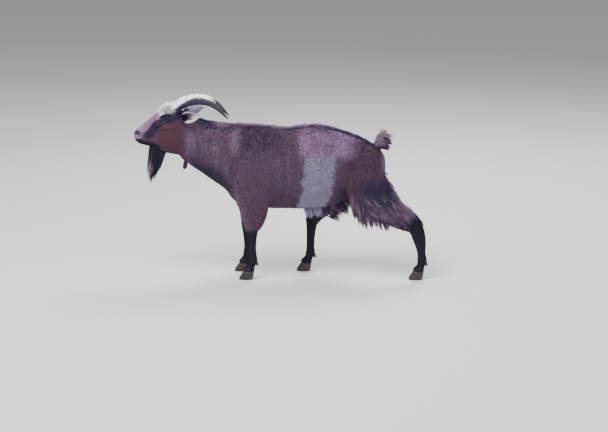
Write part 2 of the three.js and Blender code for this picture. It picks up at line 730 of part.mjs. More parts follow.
function beardSolid() {
  const random = seeded(23);
  const parts = [ellipsoid(0, -413, 572, 17, 26, 38, -0.15, 8)];
  for (const [y, length, places] of BEARD) {
    for (const x of places) {
      const out = vec(x * 0.06, (y + 414) * 0.02, -0.4).normalize();
      const root = { at: vec(x, y, 592 - (y + 440) * 0.16), out };
      const lie = vec(x * 0.004, -0.24 - (y + 440) * 0.0032, -1);
      const reach = length * mix(0.9, 1.08, random());
      parts.push(lock({ root, lie, length: reach, width: 27, lift: 5, sink: 6, thick: 0.35, slope: 0 }));
    }
  }
  return union(parts);
}

function eyeSolid(side, grow = 0) {
  const ball = new THREE.SphereGeometry(EYE.r + grow, 12, 8);
  ball.rotateZ(Math.PI / 2).translate(side * EYE.x, EYE.y, EYE.z);
  return solidOf(ball);
}

// The opening between the lids, an almond that slopes down towards the nose.
function lidOpening(side) {
  const outline = Array.from({ length: 16 }, (_, i) => {
    const a = (Math.PI * i) / 8;
    const long = 13.5 * Math.cos(a);
    const high = 8.5 * Math.sign(Math.sin(a)) * Math.abs(Math.sin(a)) ** 1.25;
    return [EYE.y + long * 0.9 - high * 0.42, EYE.z + long * 0.42 + high * 0.9];
  });
  return prism(outline, side * EYE.x, side * (EYE.x + 40));
}

function nostrilSolid(side) {
  return ellipsoid(side * 19, -503, 667, 9, 8, 3.6, 0.75, 9);
}

const horns = { 1: hornSolid(1), [-1]: hornSolid(-1) };
const ears = { 1: earSolid(1), [-1]: earSolid(-1) };
const groove = prism(MOUTH_GROOVE, -WIDE, WIDE).subtract(headFlesh(-3.2));
let skull = headBase.subtract(groove);
for (const side of [1, -1]) {
  skull = skull.subtract(eyeSolid(side, GAP));
  skull = skull.subtract(lidOpening(side)).subtract(nostrilSolid(side));
}
skull = largest(skull);
const jawRegion = prism(JAW_OUTLINE, -WIDE, WIDE);
const jaw = largest(skull.intersect(prism(drawnIn(JAW_OUTLINE), -WIDE, WIDE)));
const head = largest(skull.subtract(jawRegion));
add("head", head, "coat");
add("lower_jaw", jaw, "black");
for (const side of [1, -1]) {
  const name = SIDE_NAMES[side];
  add(`eye_${name}`, eyeSolid(side), "eye", 0.2);
  add(`horn_${name}`, horns[side].subtract(keepOff), "horn", 0.6);
  add(`ear_${name}`, ears[side].subtract(keepOff), "ear");
  const wattle = ellipsoid(side * 17, -281, 528, 8, 11, 27, -0.15, 10);
  add(`wattle_${name}`, wattle.subtract(keepOff), "coat");
}
const roundForelock = union([keepOff, hornSolid(1, CLEAR), hornSolid(-1, CLEAR)]);
add("forelock", forelockSolid().subtract(roundForelock), "poll");
add("beard", beardSolid().subtract(keepOff), "beard");

// ---------------------------------------------------------------- tail
// Short and carried upright, with hair that spreads to its tip and falls from its back.
function tailSolid() {
  const random = seeded(43);
  const bones = [vec(0, 572, 588), vec(0, 601, 613), vec(0, 622, 639), vec(0, 634, 663)];
  const core = new THREE.CatmullRomCurve3(bones);
  const radii = [17, 16, 14, 9];
  const parts = [
    loft(
      radii.map((r, i) => {
        const [at, path] = [core.getPoint(i / 3), core.getTangent(i / 3)];
        const face = vec(1, 0, 0).cross(path);
        return Array.from({ length: 10 }, (_, j) => {
          const a = (Math.PI * j) / 5;
          return along(along(at, vec(1, 0, 0), r * 1.2 * Math.cos(a)), face, r * 0.8 * Math.sin(a));
        });
      }),
    ),
  ];
  for (const [t, count, length] of [[0.28, 3, 36], [0.5, 4, 46], [0.72, 4, 44], [0.9, 3, 38]]) {
    for (let j = 0; j < count; j++) {
      const a = (2 * Math.PI * (j + t)) / count;
      const [at, path] = [core.getPoint(t), core.getTangent(t)];
      const face = vec(1, 0, 0).cross(path);
      const out = along(vec(Math.cos(a), 0, 0), face, Math.sin(a)).normalize();
      const back = Math.max(0, out.y);
      const lie = along(along(vec(0, 0.4 * back, -0.45 * back), path, 1), out, 0.25 + 0.3 * back);
      const reach = length * mix(0.9, 1.1, random()) + 12 * back;
      const root = { at: along(at, out, 9), out };
      const shape = { width: 29, lift: 6, droop: 6 * back, thick: 0.25, steps: 3, slope: 0 };
      parts.push(lock({ root, lie, length: reach, ...shape }));
    }
  }
  return union(parts);
}
add("tail", tailSolid().subtract(keepOff), "tail");

goat.position.set(0, -MIDDLE_Y, 0);
export default goat;
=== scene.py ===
"""The looks of a life-size walking goat: one skin, a coat of solid tufts, horns, eyes, ears and hooves."""

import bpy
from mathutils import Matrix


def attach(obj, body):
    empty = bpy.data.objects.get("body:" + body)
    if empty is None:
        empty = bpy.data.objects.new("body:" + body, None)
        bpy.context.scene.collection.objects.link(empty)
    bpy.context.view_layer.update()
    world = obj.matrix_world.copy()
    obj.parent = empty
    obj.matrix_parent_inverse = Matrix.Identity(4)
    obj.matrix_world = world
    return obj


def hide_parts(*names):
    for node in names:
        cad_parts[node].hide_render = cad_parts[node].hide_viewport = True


bl_info = {
    "name": "Walking goat",
    "version": (1, 0, 0),
    "blender": (4, 5, 0),
    "location": "3D View > Sidebar > Goat",
    "description": "Builds the skin, coat, horns, eyes and hooves of a goat round its packed frame",
    "category": "Add Mesh",
}

import copy
import math

import bmesh
import bpy
import numpy as np
from bpy.props import FloatProperty, FloatVectorProperty, IntProperty, PointerProperty
from mathutils import Vector
from mathutils.bvhtree import BVHTree
from mathutils.kdtree import KDTree

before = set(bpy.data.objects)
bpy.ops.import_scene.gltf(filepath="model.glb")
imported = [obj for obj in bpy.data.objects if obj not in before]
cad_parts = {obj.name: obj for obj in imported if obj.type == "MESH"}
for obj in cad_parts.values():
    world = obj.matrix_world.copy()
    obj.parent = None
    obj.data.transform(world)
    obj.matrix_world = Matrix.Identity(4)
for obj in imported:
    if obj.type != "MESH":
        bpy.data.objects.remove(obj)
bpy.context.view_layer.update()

# ---------------------------------------------------------------- sizes of the body, in millimetres
# Shapes are worked out with y counted backwards from the left fore foot; to_frame() moves them to the frame.
MM = 0.001
MIDDLE_Y = 156.5  # half way along the goat
SIDES = {1: "left", -1: "right"}
EYE = {"place": (41, -400, 715), "radius": 13.6, "slot": 3.4}  # slot: half the pupil's straight length
DOWN = np.array([0, 0, -1.0])
SEEDS = {"coat": 101, "long_hair": 202, "ears": 303}
MOST_TRIANGLES = 200000  # a piece of the coat stays below this
PARTED_AT = 190000  # a layer with more triangles than this becomes several pieces
PATCH = 0.003  # width of a tuft's patch in the unwrap

# Rows of the trunk, neck and head: top y, top z, bottom y, bottom z, half width, height of the widest line as
# a share, squareness; then the coat's depth over the skin and the length of its hair.
TRUNK = [
    (-88, 690, -100, 436, 82, 0.50, 2.10, 9, 34),
    (-56, 710, -78, 372, 110, 0.46, 2.10, 9, 34),
    (-10, 708, -30, 330, 119, 0.42, 2.10, 9, 32),
    (50, 705, 40, 317, 127, 0.42, 2.15, 9, 32),
    (120, 697, 118, 314, 137, 0.43, 2.20, 9, 32),
    (190, 693, 192, 314, 143, 0.44, 2.25, 9, 32),
    (260, 702, 262, 312, 145, 0.45, 2.25, 9, 32),
    (325, 706, 328, 312, 140, 0.46, 2.25, 9, 32),
    (390, 690, 388, 328, 128, 0.50, 2.20, 9, 34),
    (455, 670, 446, 354, 119, 0.55, 2.15, 9, 36),
    (520, 643, 512, 386, 112, 0.58, 2.10, 9, 38),
    (570, 614, 568, 412, 102, 0.58, 2.10, 9, 38),
    (604, 592, 606, 436, 86, 0.56, 2.10, 9, 34),
    (624, 562, 628, 470, 56, 0.55, 2.10, 8, 30),
]
NECK = [
    (-312, 748, -322, 566, 44, 0.50, 2.10, 8, 16),
    (-270, 752, -288, 536, 54, 0.50, 2.15, 8, 24),
    (-222, 742, -246, 503, 63, 0.48, 2.15, 9, 32),
    (-170, 724, -200, 472, 74, 0.46, 2.15, 10, 38),
    (-118, 715, -156, 440, 86, 0.44, 2.15, 10, 38),
    (-70, 711, -114, 412, 99, 0.43, 2.15, 10, 36),
    (-16, 702, -66, 372, 104, 0.43, 2.10, 10, 34),
]
HEAD = [
    (-513, 664, -512, 646, 11, 0.50, 2.20, 0.3, 2),
    (-510, 674, -507, 631, 21, 0.50, 2.20, 0.5, 3),
    (-497, 687, -493, 617, 26, 0.50, 2.30, 1.2, 5),
    (-478, 702, -473, 609, 30, 0.50, 2.40, 2.5, 7),
    (-455, 720, -444, 602, 32, 0.46, 2.30, 2.5, 8),
    (-430, 742, -414, 590, 37, 0.50, 2.20, 2.5, 9),
    (-403, 763, -385, 576, 47, 0.61, 2.30, 3, 9),
    (-371, 777, -351, 568, 54, 0.59, 2.25, 3.5, 12),
    (-337, 781, -318, 562, 57, 0.54, 2.20, 4, 14),
    (-302, 774, -290, 558, 56, 0.50, 2.10, 5, 18),
    (-262, 752, -256, 560, 48, 0.50, 2.10, 7, 24),
    (-222, 730, -226, 582, 34, 0.50, 2.10, 8, 28),
]
# Rows of a leg: distance from the mid plane, y, z, half depth, half width; the coat's depth and hair length.
FORE_LEG = [
    (58, 28, 655, 26, 12, 9, 32),
    (76, 22, 600, 52, 31, 9, 32),
    (88, 10, 530, 72, 42, 9, 32),
    (93, 6, 462, 78, 46, 9, 32),
    (95, 16, 402, 79, 43, 9, 32),
    (95, 30, 350, 74, 38, 8, 30),
    (93, 32, 304, 64, 32, 7, 26),
    (89, 28, 262, 49, 26, 5, 20),
    (86, 22, 228, 33, 25, 4, 14),
    (85, 22, 198, 26, 22, 3, 12),
    (84, 23, 158, 21, 18, 3, 11),
    (84, 25, 118, 20, 18, 3, 11),
    (84, 25, 90, 24, 22, 3, 12),
    (84, 18, 64, 20, 20, 3, 11),
    (84, 8, 40, 26, 27, 1.5, 8),
    (84, 5, 33, 27, 27, 4, 3),
]
STRETCHED_HIND_LEG = [
    (54, 512, 606, 58, 26, 9, 36),
    (68, 520, 556, 88, 46, 10, 40),
    (84, 532, 490, 100, 58, 12, 46),
    (99, 554, 422, 106, 48, 13, 54),
    (100, 598, 364, 90, 40, 13, 58),
    (96, 648, 328, 70, 32, 12, 54),
    (92, 700, 294, 56, 28, 9, 38),
    (90, 744, 266, 46, 27, 5, 20),
    (88, 771, 236, 38, 24, 4, 14),
    (88, 784, 198, 34, 21, 3, 12),
    (88, 793, 156, 27, 19, 3, 11),
    (88, 797, 120, 21, 18, 3, 11),
    (88, 800, 90, 24, 22, 3, 12),
    (88, 794, 62, 20, 20, 3, 11),
    (88, 784, 40, 27, 27, 1.5, 8),
    (88, 781, 33, 27, 27, 4, 3),
]
FORWARD_HIND_LEG = [
    (54, 512, 606, 58, 26, 9, 36),
    (68, 500, 556, 90, 48, 10, 40),
    (84, 468, 498, 106, 58, 12, 46),
    (99, 424, 440, 100, 46, 13, 54),
    (98, 390, 384, 90, 41, 13, 56),
    (95, 360, 334, 76, 34, 12, 50),
    (92, 328, 290, 56, 29, 9, 36),
    (89, 302, 250, 36, 25, 5, 20),
    (88, 295, 212, 28, 21, 4, 14),
    (88, 292, 172, 23, 18, 3, 12),
    (88, 290, 132, 21, 17, 3, 11),
    (88, 290, 106, 21, 19, 3, 11),
    (88, 290, 88, 24, 22, 3, 12),
    (88, 282, 62, 20, 20, 3, 11),
    (88, 271, 40, 27, 27, 1.5, 8),
    (88, 268, 33, 27, 27, 4, 3),
]
FAR_FORE_STEP = -26  # the right fore foot stands this much further forward
HIND_LEGS = {1: STRETCHED_HIND_LEG, -1: FORWARD_HIND_LEG}
FETLOCK_ROW, CLAW_ROW = 12, -2  # the rows of every leg at its dewclaws and at the top of its claws
BUTTOCKS = {1: (58, 576, 474, 62, 58, 112, 0), -1: (56, 540, 488, 54, 54, 112, -0.42)}  # place, radii, pitch
BUTTOCK_COAT = 11  # the coat's depth over them
DOCK = [(560, 580, 17), (590, 602, 14), (613, 628, 11), (628, 652, 8), (634, 664, 4)]  # y, z, radius
FLESH_NODES = ["head", "lower_jaw", "neck", "torso"] + [
    f"{part}_{side}"
    for part in (
        "shoulder", "forearm", "thigh", "cannon_fore", "cannon_hind", "pastern_fore", "pastern_hind",
    )
    for side in SIDES.values()
]
SURFACES = {}  # what hair grows on, by the name of its object


def to_frame(points):
    """Points in the body's millimetres as metres in the frame."""
    return (np.asarray(points, float) - (0, MIDDLE_Y, 0)) * MM


def from_frame(points):
    """Points in the frame's metres as millimetres of the body."""
    return np.asarray(points, float) / MM + (0, MIDDLE_Y, 0)


def linear(hex_code):
    """A colour written as sRGB hex, turned linear."""
    parts = [int(hex_code[i : i + 2], 16) / 255 for i in (1, 3, 5)]
    return tuple(c / 12.92 if c <= 0.04045 else ((c + 0.055) / 1.055) ** 2.4 for c in parts)


def colour_property(name, hex_code, description):
    """A colour that a user may change."""
    return FloatVectorProperty(
        name=name, description=description, default=linear(hex_code), subtype="COLOR", size=3, min=0, max=1
    )


def tuft_property(name, place, tufts):
    """How dense the tufts stand on one part of the body."""
    return FloatProperty(name=name, description=f"Tufts on a square centimetre of {place}", default=tufts)


# ---------------------------------------------------------------- what a user may change
class GoatShape(bpy.types.PropertyGroup):
    skin_mesh: FloatProperty(
        name="Skin mesh", description="Width of one face of the skin", default=0.0036, unit="LENGTH"
    )
    soften: IntProperty(name="Soften", description="Smoothing passes over the body's muscles", default=14)
    horn_ridges: IntProperty(name="Horn rings", description="Growth rings on each horn", default=13)


class GoatCoat(bpy.types.PropertyGroup):
    body_tufts: tuft_property("Body tufts", "body", 9.0)
    face_tufts: tuft_property("Face tufts", "face", 17.0)
    leg_tufts: tuft_property("Leg tufts", "lower leg", 10.0)
    tuft_width: FloatProperty(
        name="Tuft width", description="Width of a body tuft at its widest", default=0.0027, unit="LENGTH"
    )
    clump: FloatProperty(
        name="Clumping", description="How far tufts draw together into locks", default=0.38, subtype="FACTOR"
    )


class GoatColours(bpy.types.PropertyGroup):
    brown: colour_property("Brown", "#5a425b", "Grey-brown of the shoulders and back")
    russet: colour_property("Russet", "#563645", "Red-brown of the cheeks and rump")
    # Dark also paints the shade round the eyes, under the horns by the ears, behind the nostrils, on
    # undersides and in the groin.
    dark: colour_property("Dark", "#261c3f", "Dark hair of the back stripe, eye stripe and hams")
    # Black also paints half of the shade round the eyes.
    black: colour_property("Black", "#130f22", "Lower legs, chin and beard")
    # Pale also paints the sunlight on the upper flank.
    pale: colour_property("Pale", "#a07ca6", "Pale rose-grey of the upper flank and muzzle")
    # The belt's white also paints the highlight on the bridge of the nose.
    belt: colour_property("Belt", "#918aa6", "White belt round the flank")
    # The tips' beige also paints the highlight along the top of the back.
    tips: colour_property("Tips", "#8c7c90", "Bleached tips of the long hair, and the neck's paler hairs")
    cream: colour_property("Cream", "#f2f0f7", "Tuft on the poll and the rims of the ears")


class GoatStage(bpy.types.PropertyGroup):
    key_power: FloatProperty(
        name="Key light", description="Power of the main soft light", default=420.0, unit="POWER"
    )
    floor: colour_property("Floor", "#d9d8d4", "Plain pale floor")


# ---------------------------------------------------------------- small tools
def smooth_step(low, high, value):
    """From 0 at the low end to 1 at the high end, without a corner; the low end may be the larger."""
    t = np.clip((np.asarray(value, float) - low) / (high - low), 0, 1)
    return t * t * (3 - 2 * t)


def within(value, start, end):
    """One between two soft edges and nought outside; an edge is where it is nought and where it is full."""
    return smooth_step(*start, value) * smooth_step(*end, value)


def opaque(colour):
    """A colour as sockets take it, with full cover."""
    return (*colour, 1)


def unit(vectors):
    """Vectors made one long."""
    return vectors / np.maximum(np.linalg.norm(vectors, axis=-1, keepdims=True), 1e-9)


def flattened(vectors, normals):
    """Vectors with what points out of the surface taken away."""
    return vectors - normals * np.sum(vectors * normals, axis=-1, keepdims=True)


def soft_noise(points, cell, seed):
    """Smooth value noise from -1 to 1, with cells this many millimetres wide."""
    q = np.asarray(points, float) / cell + 100.37 + 17.13 * seed
    base = np.floor(q).astype(np.int64)
    f = q - base
    f = f * f * (3 - 2 * f)
    total = np.zeros(len(q))
    for corner in range(8):
        d = np.array([corner & 1, corner >> 1 & 1, corner >> 2 & 1])
        c = base + d
        # Large primes scatter the cells' whole numbers, as in a spatial hash.
        h = (c[:, 0] * 73856093) ^ (c[:, 1] * 19349663) ^ (c[:, 2] * 83492791) ^ (seed * 9176)
        h = (h ^ (h >> 13)) * 1274126177 & 0x7FFFFFFF
        weight = np.prod(np.where(d, f, 1 - f), axis=1)
        total += weight * ((h >> 7) % 65536) / 32768.0
    return total - 1


def between(rows, t):
    """Values between the rows of a table, on a Catmull-Rom spline through every row."""
    rows = np.asarray(rows, float)
    t = np.atleast_1d(t)
    at = np.clip(t, 0, 1) * (len(rows) - 1)
    i = np.minimum(at.astype(int), len(rows) - 2)
    f = (at - i)[:, None]
    p, q = rows[np.maximum(i - 1, 0)], rows[i]
    r, s = rows[i + 1], rows[np.minimum(i + 2, len(rows) - 1)]
    return q + 0.5 * f * (r - p + f * (2 * p - 5 * q + 4 * r - s + f * (3 * (q - r) + s - p)))


def section_grid(rows, rings, sides):
    """Points of a body made of sections, ring by ring; the coat's depth is taken off."""
    table = between(rows, np.linspace(0, 1, rings))[:, None, :]
    angle = np.linspace(0, 2 * np.pi, sides, endpoint=False)[None, :]
    top_y, top_z, low_y, low_z, half, waist, square, depth = [table[..., k] for k in range(8)]
    rise_y, rise_z = top_y - low_y, top_z - low_z
    height = np.hypot(rise_y, rise_z)
    c, s = np.cos(angle), np.sin(angle)
    side = np.sign(c) * np.abs(c) ** (2 / square) * np.maximum(half - depth, 2)
    share = np.where(s > 0, 1 - waist, waist)
    up = np.sign(s) * np.abs(s) ** (2 / square) * np.maximum(height * share - depth, 2)
    y = low_y + rise_y * waist + up * rise_y / height
    z = low_z + rise_z * waist + up * rise_z / height
    return np.stack([side, y, z], axis=-1)


def limb_grid(rows, rings, sides, side):
    """Rings of points round a leg, square to its path in the side view; the coat's depth is taken off."""
    t = np.linspace(0, 1, rings)
    table = between(rows, t)
    path = between(rows, t + 1e-3)[:, 1:3] - between(rows, t - 1e-3)[:, 1:3]
    path = unit(path)[:, None, :]
    angle = np.linspace(0, 2 * np.pi, sides, endpoint=False)[None, :]
    x, y, z, deep, wide, depth = [table[:, k, None] for k in range(6)]
    fore = np.sin(angle) * (deep - depth)
    out = side * (x + (wide - depth) * np.cos(angle))
    return np.stack([out, y + fore * path[..., 1], z - fore * path[..., 0]], axis=-1)


def grid_mesh(grid):
    """Vertices and faces of a closed body from rings of points, each end a fan."""
    rings, sides = grid.shape[:2]
    points = np.concatenate([grid.reshape(-1, 3), grid[[0, -1]].mean(axis=1)])
    faces = []
    for i in range(rings - 1):
        for j in range(sides):
            k = (j + 1) % sides
            faces.append((i * sides + j, i * sides + k, (i + 1) * sides + k, (i + 1) * sides + j))
    last = (rings - 1) * sides
    for j in range(sides):
        k = (j + 1) % sides
        faces.append((rings * sides, k, j))
        faces.append((rings * sides + 1, last + j, last + k))
    return points, faces


def ball_grid(place, radii, pitch=0.0, rings=24, sides=32):
    """Rings of a ball with three radii, leaning by a pitch about the x axis."""
    a = np.linspace(0.02, np.pi - 0.02, rings)[:, None]
    b = np.linspace(0, 2 * np.pi, sides, endpoint=False)[None, :]
    x = radii[0] * np.sin(a) * np.cos(b)
    y = radii[1] * np.sin(a) * np.sin(b)
    z = radii[2] * np.cos(a) + 0 * b
    c, s = math.cos(pitch), math.sin(pitch)
    return np.stack([x, c * y - s * z, s * y + c * z], axis=-1) + np.asarray(place, float)


def object_from(name, points, faces):
    """A smooth mesh object from points in millimetres and faces, linked to the scene."""
    mesh = bpy.data.meshes.new(name)
    mesh.from_pydata(to_frame(points).tolist(), [], [tuple(int(v) for v in f) for f in faces])
    mesh.shade_smooth()
    obj = bpy.data.objects.new(name, mesh)
    bpy.context.scene.collection.objects.link(obj)
    return obj


def joined(grids):
    """Several bodies made of rings as the points and faces of one mesh."""
    points, faces, start = [], [], 0
    for grid in grids:
        p, f = grid_mesh(grid)
        points.append(p)
        faces += [tuple(v + start for v in face) for face in f]
        start += len(p)
    return np.concatenate(points), faces


def outward(obj):
    """Turns every face of the mesh outwards."""
    edit = bmesh.new()
    edit.from_mesh(obj.data)
    bmesh.ops.recalc_face_normals(edit, faces=edit.faces)
    edit.to_mesh(obj.data)
    edit.free()


def coordinates(mesh):
    """A mesh's points, in metres."""
    co = np.empty(len(mesh.vertices) * 3)
    mesh.vertices.foreach_get("co", co)
    return co.reshape(-1, 3)


def set_points(mesh, points):
    """Moves a mesh's points to these places, in millimetres."""
    mesh.vertices.foreach_set("co", to_frame(points).ravel())
    mesh.update()


def normals_of(mesh):
    """The way out of the surface at each of a mesh's points."""
    n = np.empty(len(mesh.vertices) * 3)
    mesh.vertex_normals.foreach_get("vector", n)
    return n.reshape(-1, 3)


def paint(mesh, name, values):
    """A colour layer on the mesh's points, four numbers each."""
    layer = mesh.attributes.new(name, "FLOAT_COLOR", "POINT")
    layer.data.foreach_set("color", np.ascontiguousarray(values, np.float32).ravel())


def paint_coat(mesh, shares, height, chance):
    """The six shares in two layers; their fourth numbers are height along the hair and depth of colour."""
    for name, part, last in (("marks", shares[:, :3], height), ("tones", shares[:, 3:], chance)):
        paint(mesh, name, np.concatenate([part, last[:, None]], axis=1))


def tree_of(places):
    """A tree that finds the nearest of these places."""
    tree = KDTree(len(places))
    for i, place in enumerate(places.tolist()):
        tree.insert(place, i)
    tree.balance()
    return tree


# ---------------------------------------------------------------- the flesh, and how the coat lies on it
def fore_leg_rows(side):
    """Rows of a fore leg; below the elbow the right one steps forward."""
    rows = []
    for i, (x, y, *rest) in enumerate(FORE_LEG):
        lower = min(max((i - 3) / 5, 0), 1)
        rows.append((x, y + (FAR_FORE_STEP * lower if side < 0 else 0), *rest))
    return rows


def flesh_grids():
    """The forms of the body below the coat, and the smaller lumps that are fused with them.

    Each form is its rings, the table they come from, whether it is a limb, and how much its hair runs along
    it and how much it falls.
    """
    forms = [
        (section_grid(TRUNK, 72, 56), TRUNK, False, 1.0, 0.75),
        (section_grid(NECK, 40, 48), NECK, False, 0.5, 1.0),
        (section_grid(HEAD, 90, 64), HEAD, False, 1.0, 0.12),
    ]
    lumps = []
    ex, ey, ez = EYE["place"]
    for side in SIDES:
        for rows, fall in ((fore_leg_rows(side), 0.8), (HIND_LEGS[side], 0.5)):
            forms.append((limb_grid(rows, 80, 28, side), rows, True, 1.0, fall))
        x, y, z, rx, ry, rz, pitch = BUTTOCKS[side]
        radii = (rx - BUTTOCK_COAT, ry - BUTTOCK_COAT, rz - BUTTOCK_COAT)
        lumps.append(ball_grid((side * x, y, z), radii, pitch))
        lumps.append(ball_grid((side * (ex - 1), ey, ez), (14.6, 18.6, 16.4), 0.5))  # lids round the eye
        lumps.append(ball_grid((side * (ex - 12), ey + 10, ez + 13), (18.5, 29.5, 13.5), 0.5))  # brow
        lumps.append(ball_grid((side * 14, -498, 663), (10, 12.5, 9), 0.6))  # wing of the nostril
    rings = []
    a = np.linspace(0, 2 * np.pi, 16, endpoint=False)
    for y, z, r in between(DOCK, np.linspace(0, 1, 16)):
        rise = r * 0.55 * np.sin(a)
        rings.append(np.stack([r * 1.1 * np.cos(a), y + rise, z - rise], axis=-1))
    lumps.append(np.array(rings))
    return forms, lumps


def lie_samples(forms):
    """Points over the body with the coat's direction and length there, and 1 where it is a limb."""
    places, ways, lengths, limbs = [], [], [], []
    for grid, rows, limb, along_share, fall_share in forms:
        along = unit(np.gradient(grid, axis=0))
        length = between(rows, np.linspace(0, 1, len(grid)))[:, -1]
        places.append(grid.reshape(-1, 3))
        ways.append((along_share * along + fall_share * DOWN).reshape(-1, 3))
        lengths.append(np.repeat(length, grid.shape[1]))
        limbs.append(np.full(len(lengths[-1]), float(limb)))
    samples = np.column_stack([unit(np.concatenate(ways)), np.concatenate(lengths), np.concatenate(limbs)])
    return np.concatenate(places), samples


def softened(points, edges, weights, passes):
    """Points drawn to the middle of their neighbours, as far as each one's weight lets it."""
    points = points.copy()
    a, b = edges[:, 0], edges[:, 1]
    count = np.bincount(a, minlength=len(points)) + np.bincount(b, minlength=len(points))
    for _ in range(passes):
        for k in range(points.shape[1]):
            column = points[:, k]
            total = np.bincount(a, column[b], len(points)) + np.bincount(b, column[a], len(points))
            points[:, k] = column + weights * (total / np.maximum(count, 1) - column)
    return points


def edges_of(mesh):
    """The two points of each of a mesh's edges."""
    edges = np.empty(len(mesh.edges) * 2, np.int32)
    mesh.edges.foreach_get("vertices", edges)
    return edges.reshape(-1, 2)


def refined(obj, centre, radius):
    """Halves the edges near a place, for the folds of the eyes, nostrils and lips."""
    edit = bmesh.new()
    edit.from_mesh(obj.data)
    middle = Vector(to_frame([centre])[0])
    near = [e for e in edit.edges if (e.verts[0].co - middle).length < radius * MM]
    bmesh.ops.subdivide_edges(edit, edges=near, cuts=1, use_grid_fill=True)
    edit.to_mesh(obj.data)
    edit.free()


# A nostril is a comma: it opens low at the front and curls up and back.
NOSTRIL = [(7, -514, 656), (11, -511, 663), (15.5, -506, 669), (20.5, -499, 671), (23, -494, 667)]


def nostril_distance(points):
    """Distance of each point from the nearer nostril's middle line."""
    points = np.abs(points * (1, 0, 0)) + points * (0, 1, 1)
    gap = np.full(len(points), 1e3)
    for start, end in zip(np.array(NOSTRIL[:-1], float), np.array(NOSTRIL[1:], float)):
        line = end - start
        along = np.clip((points - start) @ line / (line @ line), 0, 1)
        gap = np.minimum(gap, np.linalg.norm(points - start - along[:, None] * line, axis=1))
    return gap


def mouth_height(y):
    """Height of the line between the lips, from the chin to the corner of the mouth."""
    return np.interp(y, [-530, -440, -398, -385], [641, 629.5, 612, 600])


def eye_distance(points):
    """Distance of each point from the centre of the nearer eye."""
    places = [np.array(EYE["place"]) * (side, 1, 1) for side in SIDES]
    return np.min([np.linalg.norm(points - place, axis=1) for place in places], axis=0)


def eye_frame(side):
    """Centre of an eyeball, the way it looks, the long axis between its corners and its height axis."""
    centre = np.array(EYE["place"], float) * (side, 1, 1)
    look = unit(np.array([side, -0.24, 0.08]))
    length = unit(flattened(np.array([0, 0.95, 0.31]), look))
    return centre, look, length, np.cross(length, look) * side


def sculpt_skull(points, normals):
    """The bones and muscles under the face: orbit, cheekbone, bridge, jaw muscle and the hollows between."""
    x, y, z = points.T
    w = np.abs(x)
    side = smooth_step(14, 30, w)

    def lump(cx, cy, cz, rx, ry, rz):
        return np.exp(-(((w - cx) / rx) ** 2) - ((y - cy) / ry) ** 2 - ((z - cz) / rz) ** 2)

    def ridge(start, end, thick):
        ends = smooth_step(0, 12, y - start[0] + 6) * smooth_step(0, 14, end[0] - y + 8)
        return side * ends * np.exp(-((line_distance(y, z, start, end) / thick) ** 2))

    lift = 6.5 * lump(40, -398, 714, 24, 27, 24)  # rim of the orbit
    lift += 3.5 * lump(34, -392, 742, 16, 20, 12)  # brow
    lift += 4.2 * ridge((-448, 664), (-398, 690), 9)  # cheekbone, to the front
    lift += 4.6 * ridge((-400, 690), (-322, 700), 9)  # and back towards the ear
    lift -= 3.6 * lump(34, -434, 702, 18, 20, 13)  # hollow before the eye
    lift -= 3.0 * lump(40, -432, 634, 20, 22, 14)  # hollow between cheekbone and jaw
    lift += 4.5 * lump(50, -352, 640, 30, 34, 40)  # jaw muscle
    lift -= 3.0 * lump(44, -354, 738, 20, 16, 14)  # temple
    lift += 1.6 * lump(0, -455, 712, 9, 44, 22)  # bridge of the nose
    lift += 2.2 * lump(22, -487, 650, 14, 18, 12)  # upper lip
    return points + normals * lift[:, None]


def sculpt_head(points, normals):
    """Sockets and lids, nostrils, the line of the mouth and the groove of the upper lip."""
    moved = points.copy()
    radius = EYE["radius"]
    for side in SIDES:
        centre, look, length, height = eye_frame(side)
        away = moved - centre
        distance = np.linalg.norm(away, axis=1)
        ahead = away @ look / np.maximum(distance, 1e-6)
        a, b = away @ length, away @ height
        # The opening between the lids is where oval stays below 1.
        half_long, half_high = 12.0, np.where(b > 0, 6.2, 6.8)
        oval = np.sqrt((a / half_long) ** 2 + (b / half_high * (1 + 0.25 * (a / half_long) ** 2)) ** 2)
        near = (distance < 30) & (ahead > 0.1)
        rim = radius + 1.5 * np.exp(-(((oval - 1.12) / 0.3) ** 2)) + np.maximum(oval - 1.15, 0) * 3.0
        lid = centre + unit(away) * rim[:, None]
        blend = (near * (1 - smooth_step(1.5, 2.1, oval)))[:, None]
        moved = moved + (lid - moved) * blend
        sunk = centre + unit(away) * (radius - 5)
        moved = np.where((near & (oval < 0.97))[:, None], sunk, moved)
        crease = near * np.exp(-(((oval - 1.62) / 0.14) ** 2)) * smooth_step(-2, 3, b)
        moved -= normals * (crease * 1.3)[:, None]
    gap = nostril_distance(points)
    moved -= normals * (5.5 * np.exp(-((gap / 2.1) ** 2)))[:, None]
    moved += normals * (1.7 * np.exp(-(((gap - 5.4) / 2.0) ** 2)))[:, None]
    x, y, z = points.T
    line = z - mouth_height(y)
    front = smooth_step(-396, -412, y)
    moved -= normals * (2.8 * front * np.exp(-((line / 1.5) ** 2)))[:, None]
    moved += normals * (1.2 * front * np.exp(-(((np.abs(line) - 4.6) / 2.4) ** 2)))[:, None]
    split = smooth_step(-498, -506, y) * np.exp(-((x / 1.3) ** 2))
    split = split * smooth_step(642, 646, z) * smooth_step(668, 660, z)
    moved -= normals * (1.8 * split)[:, None]
    return moved


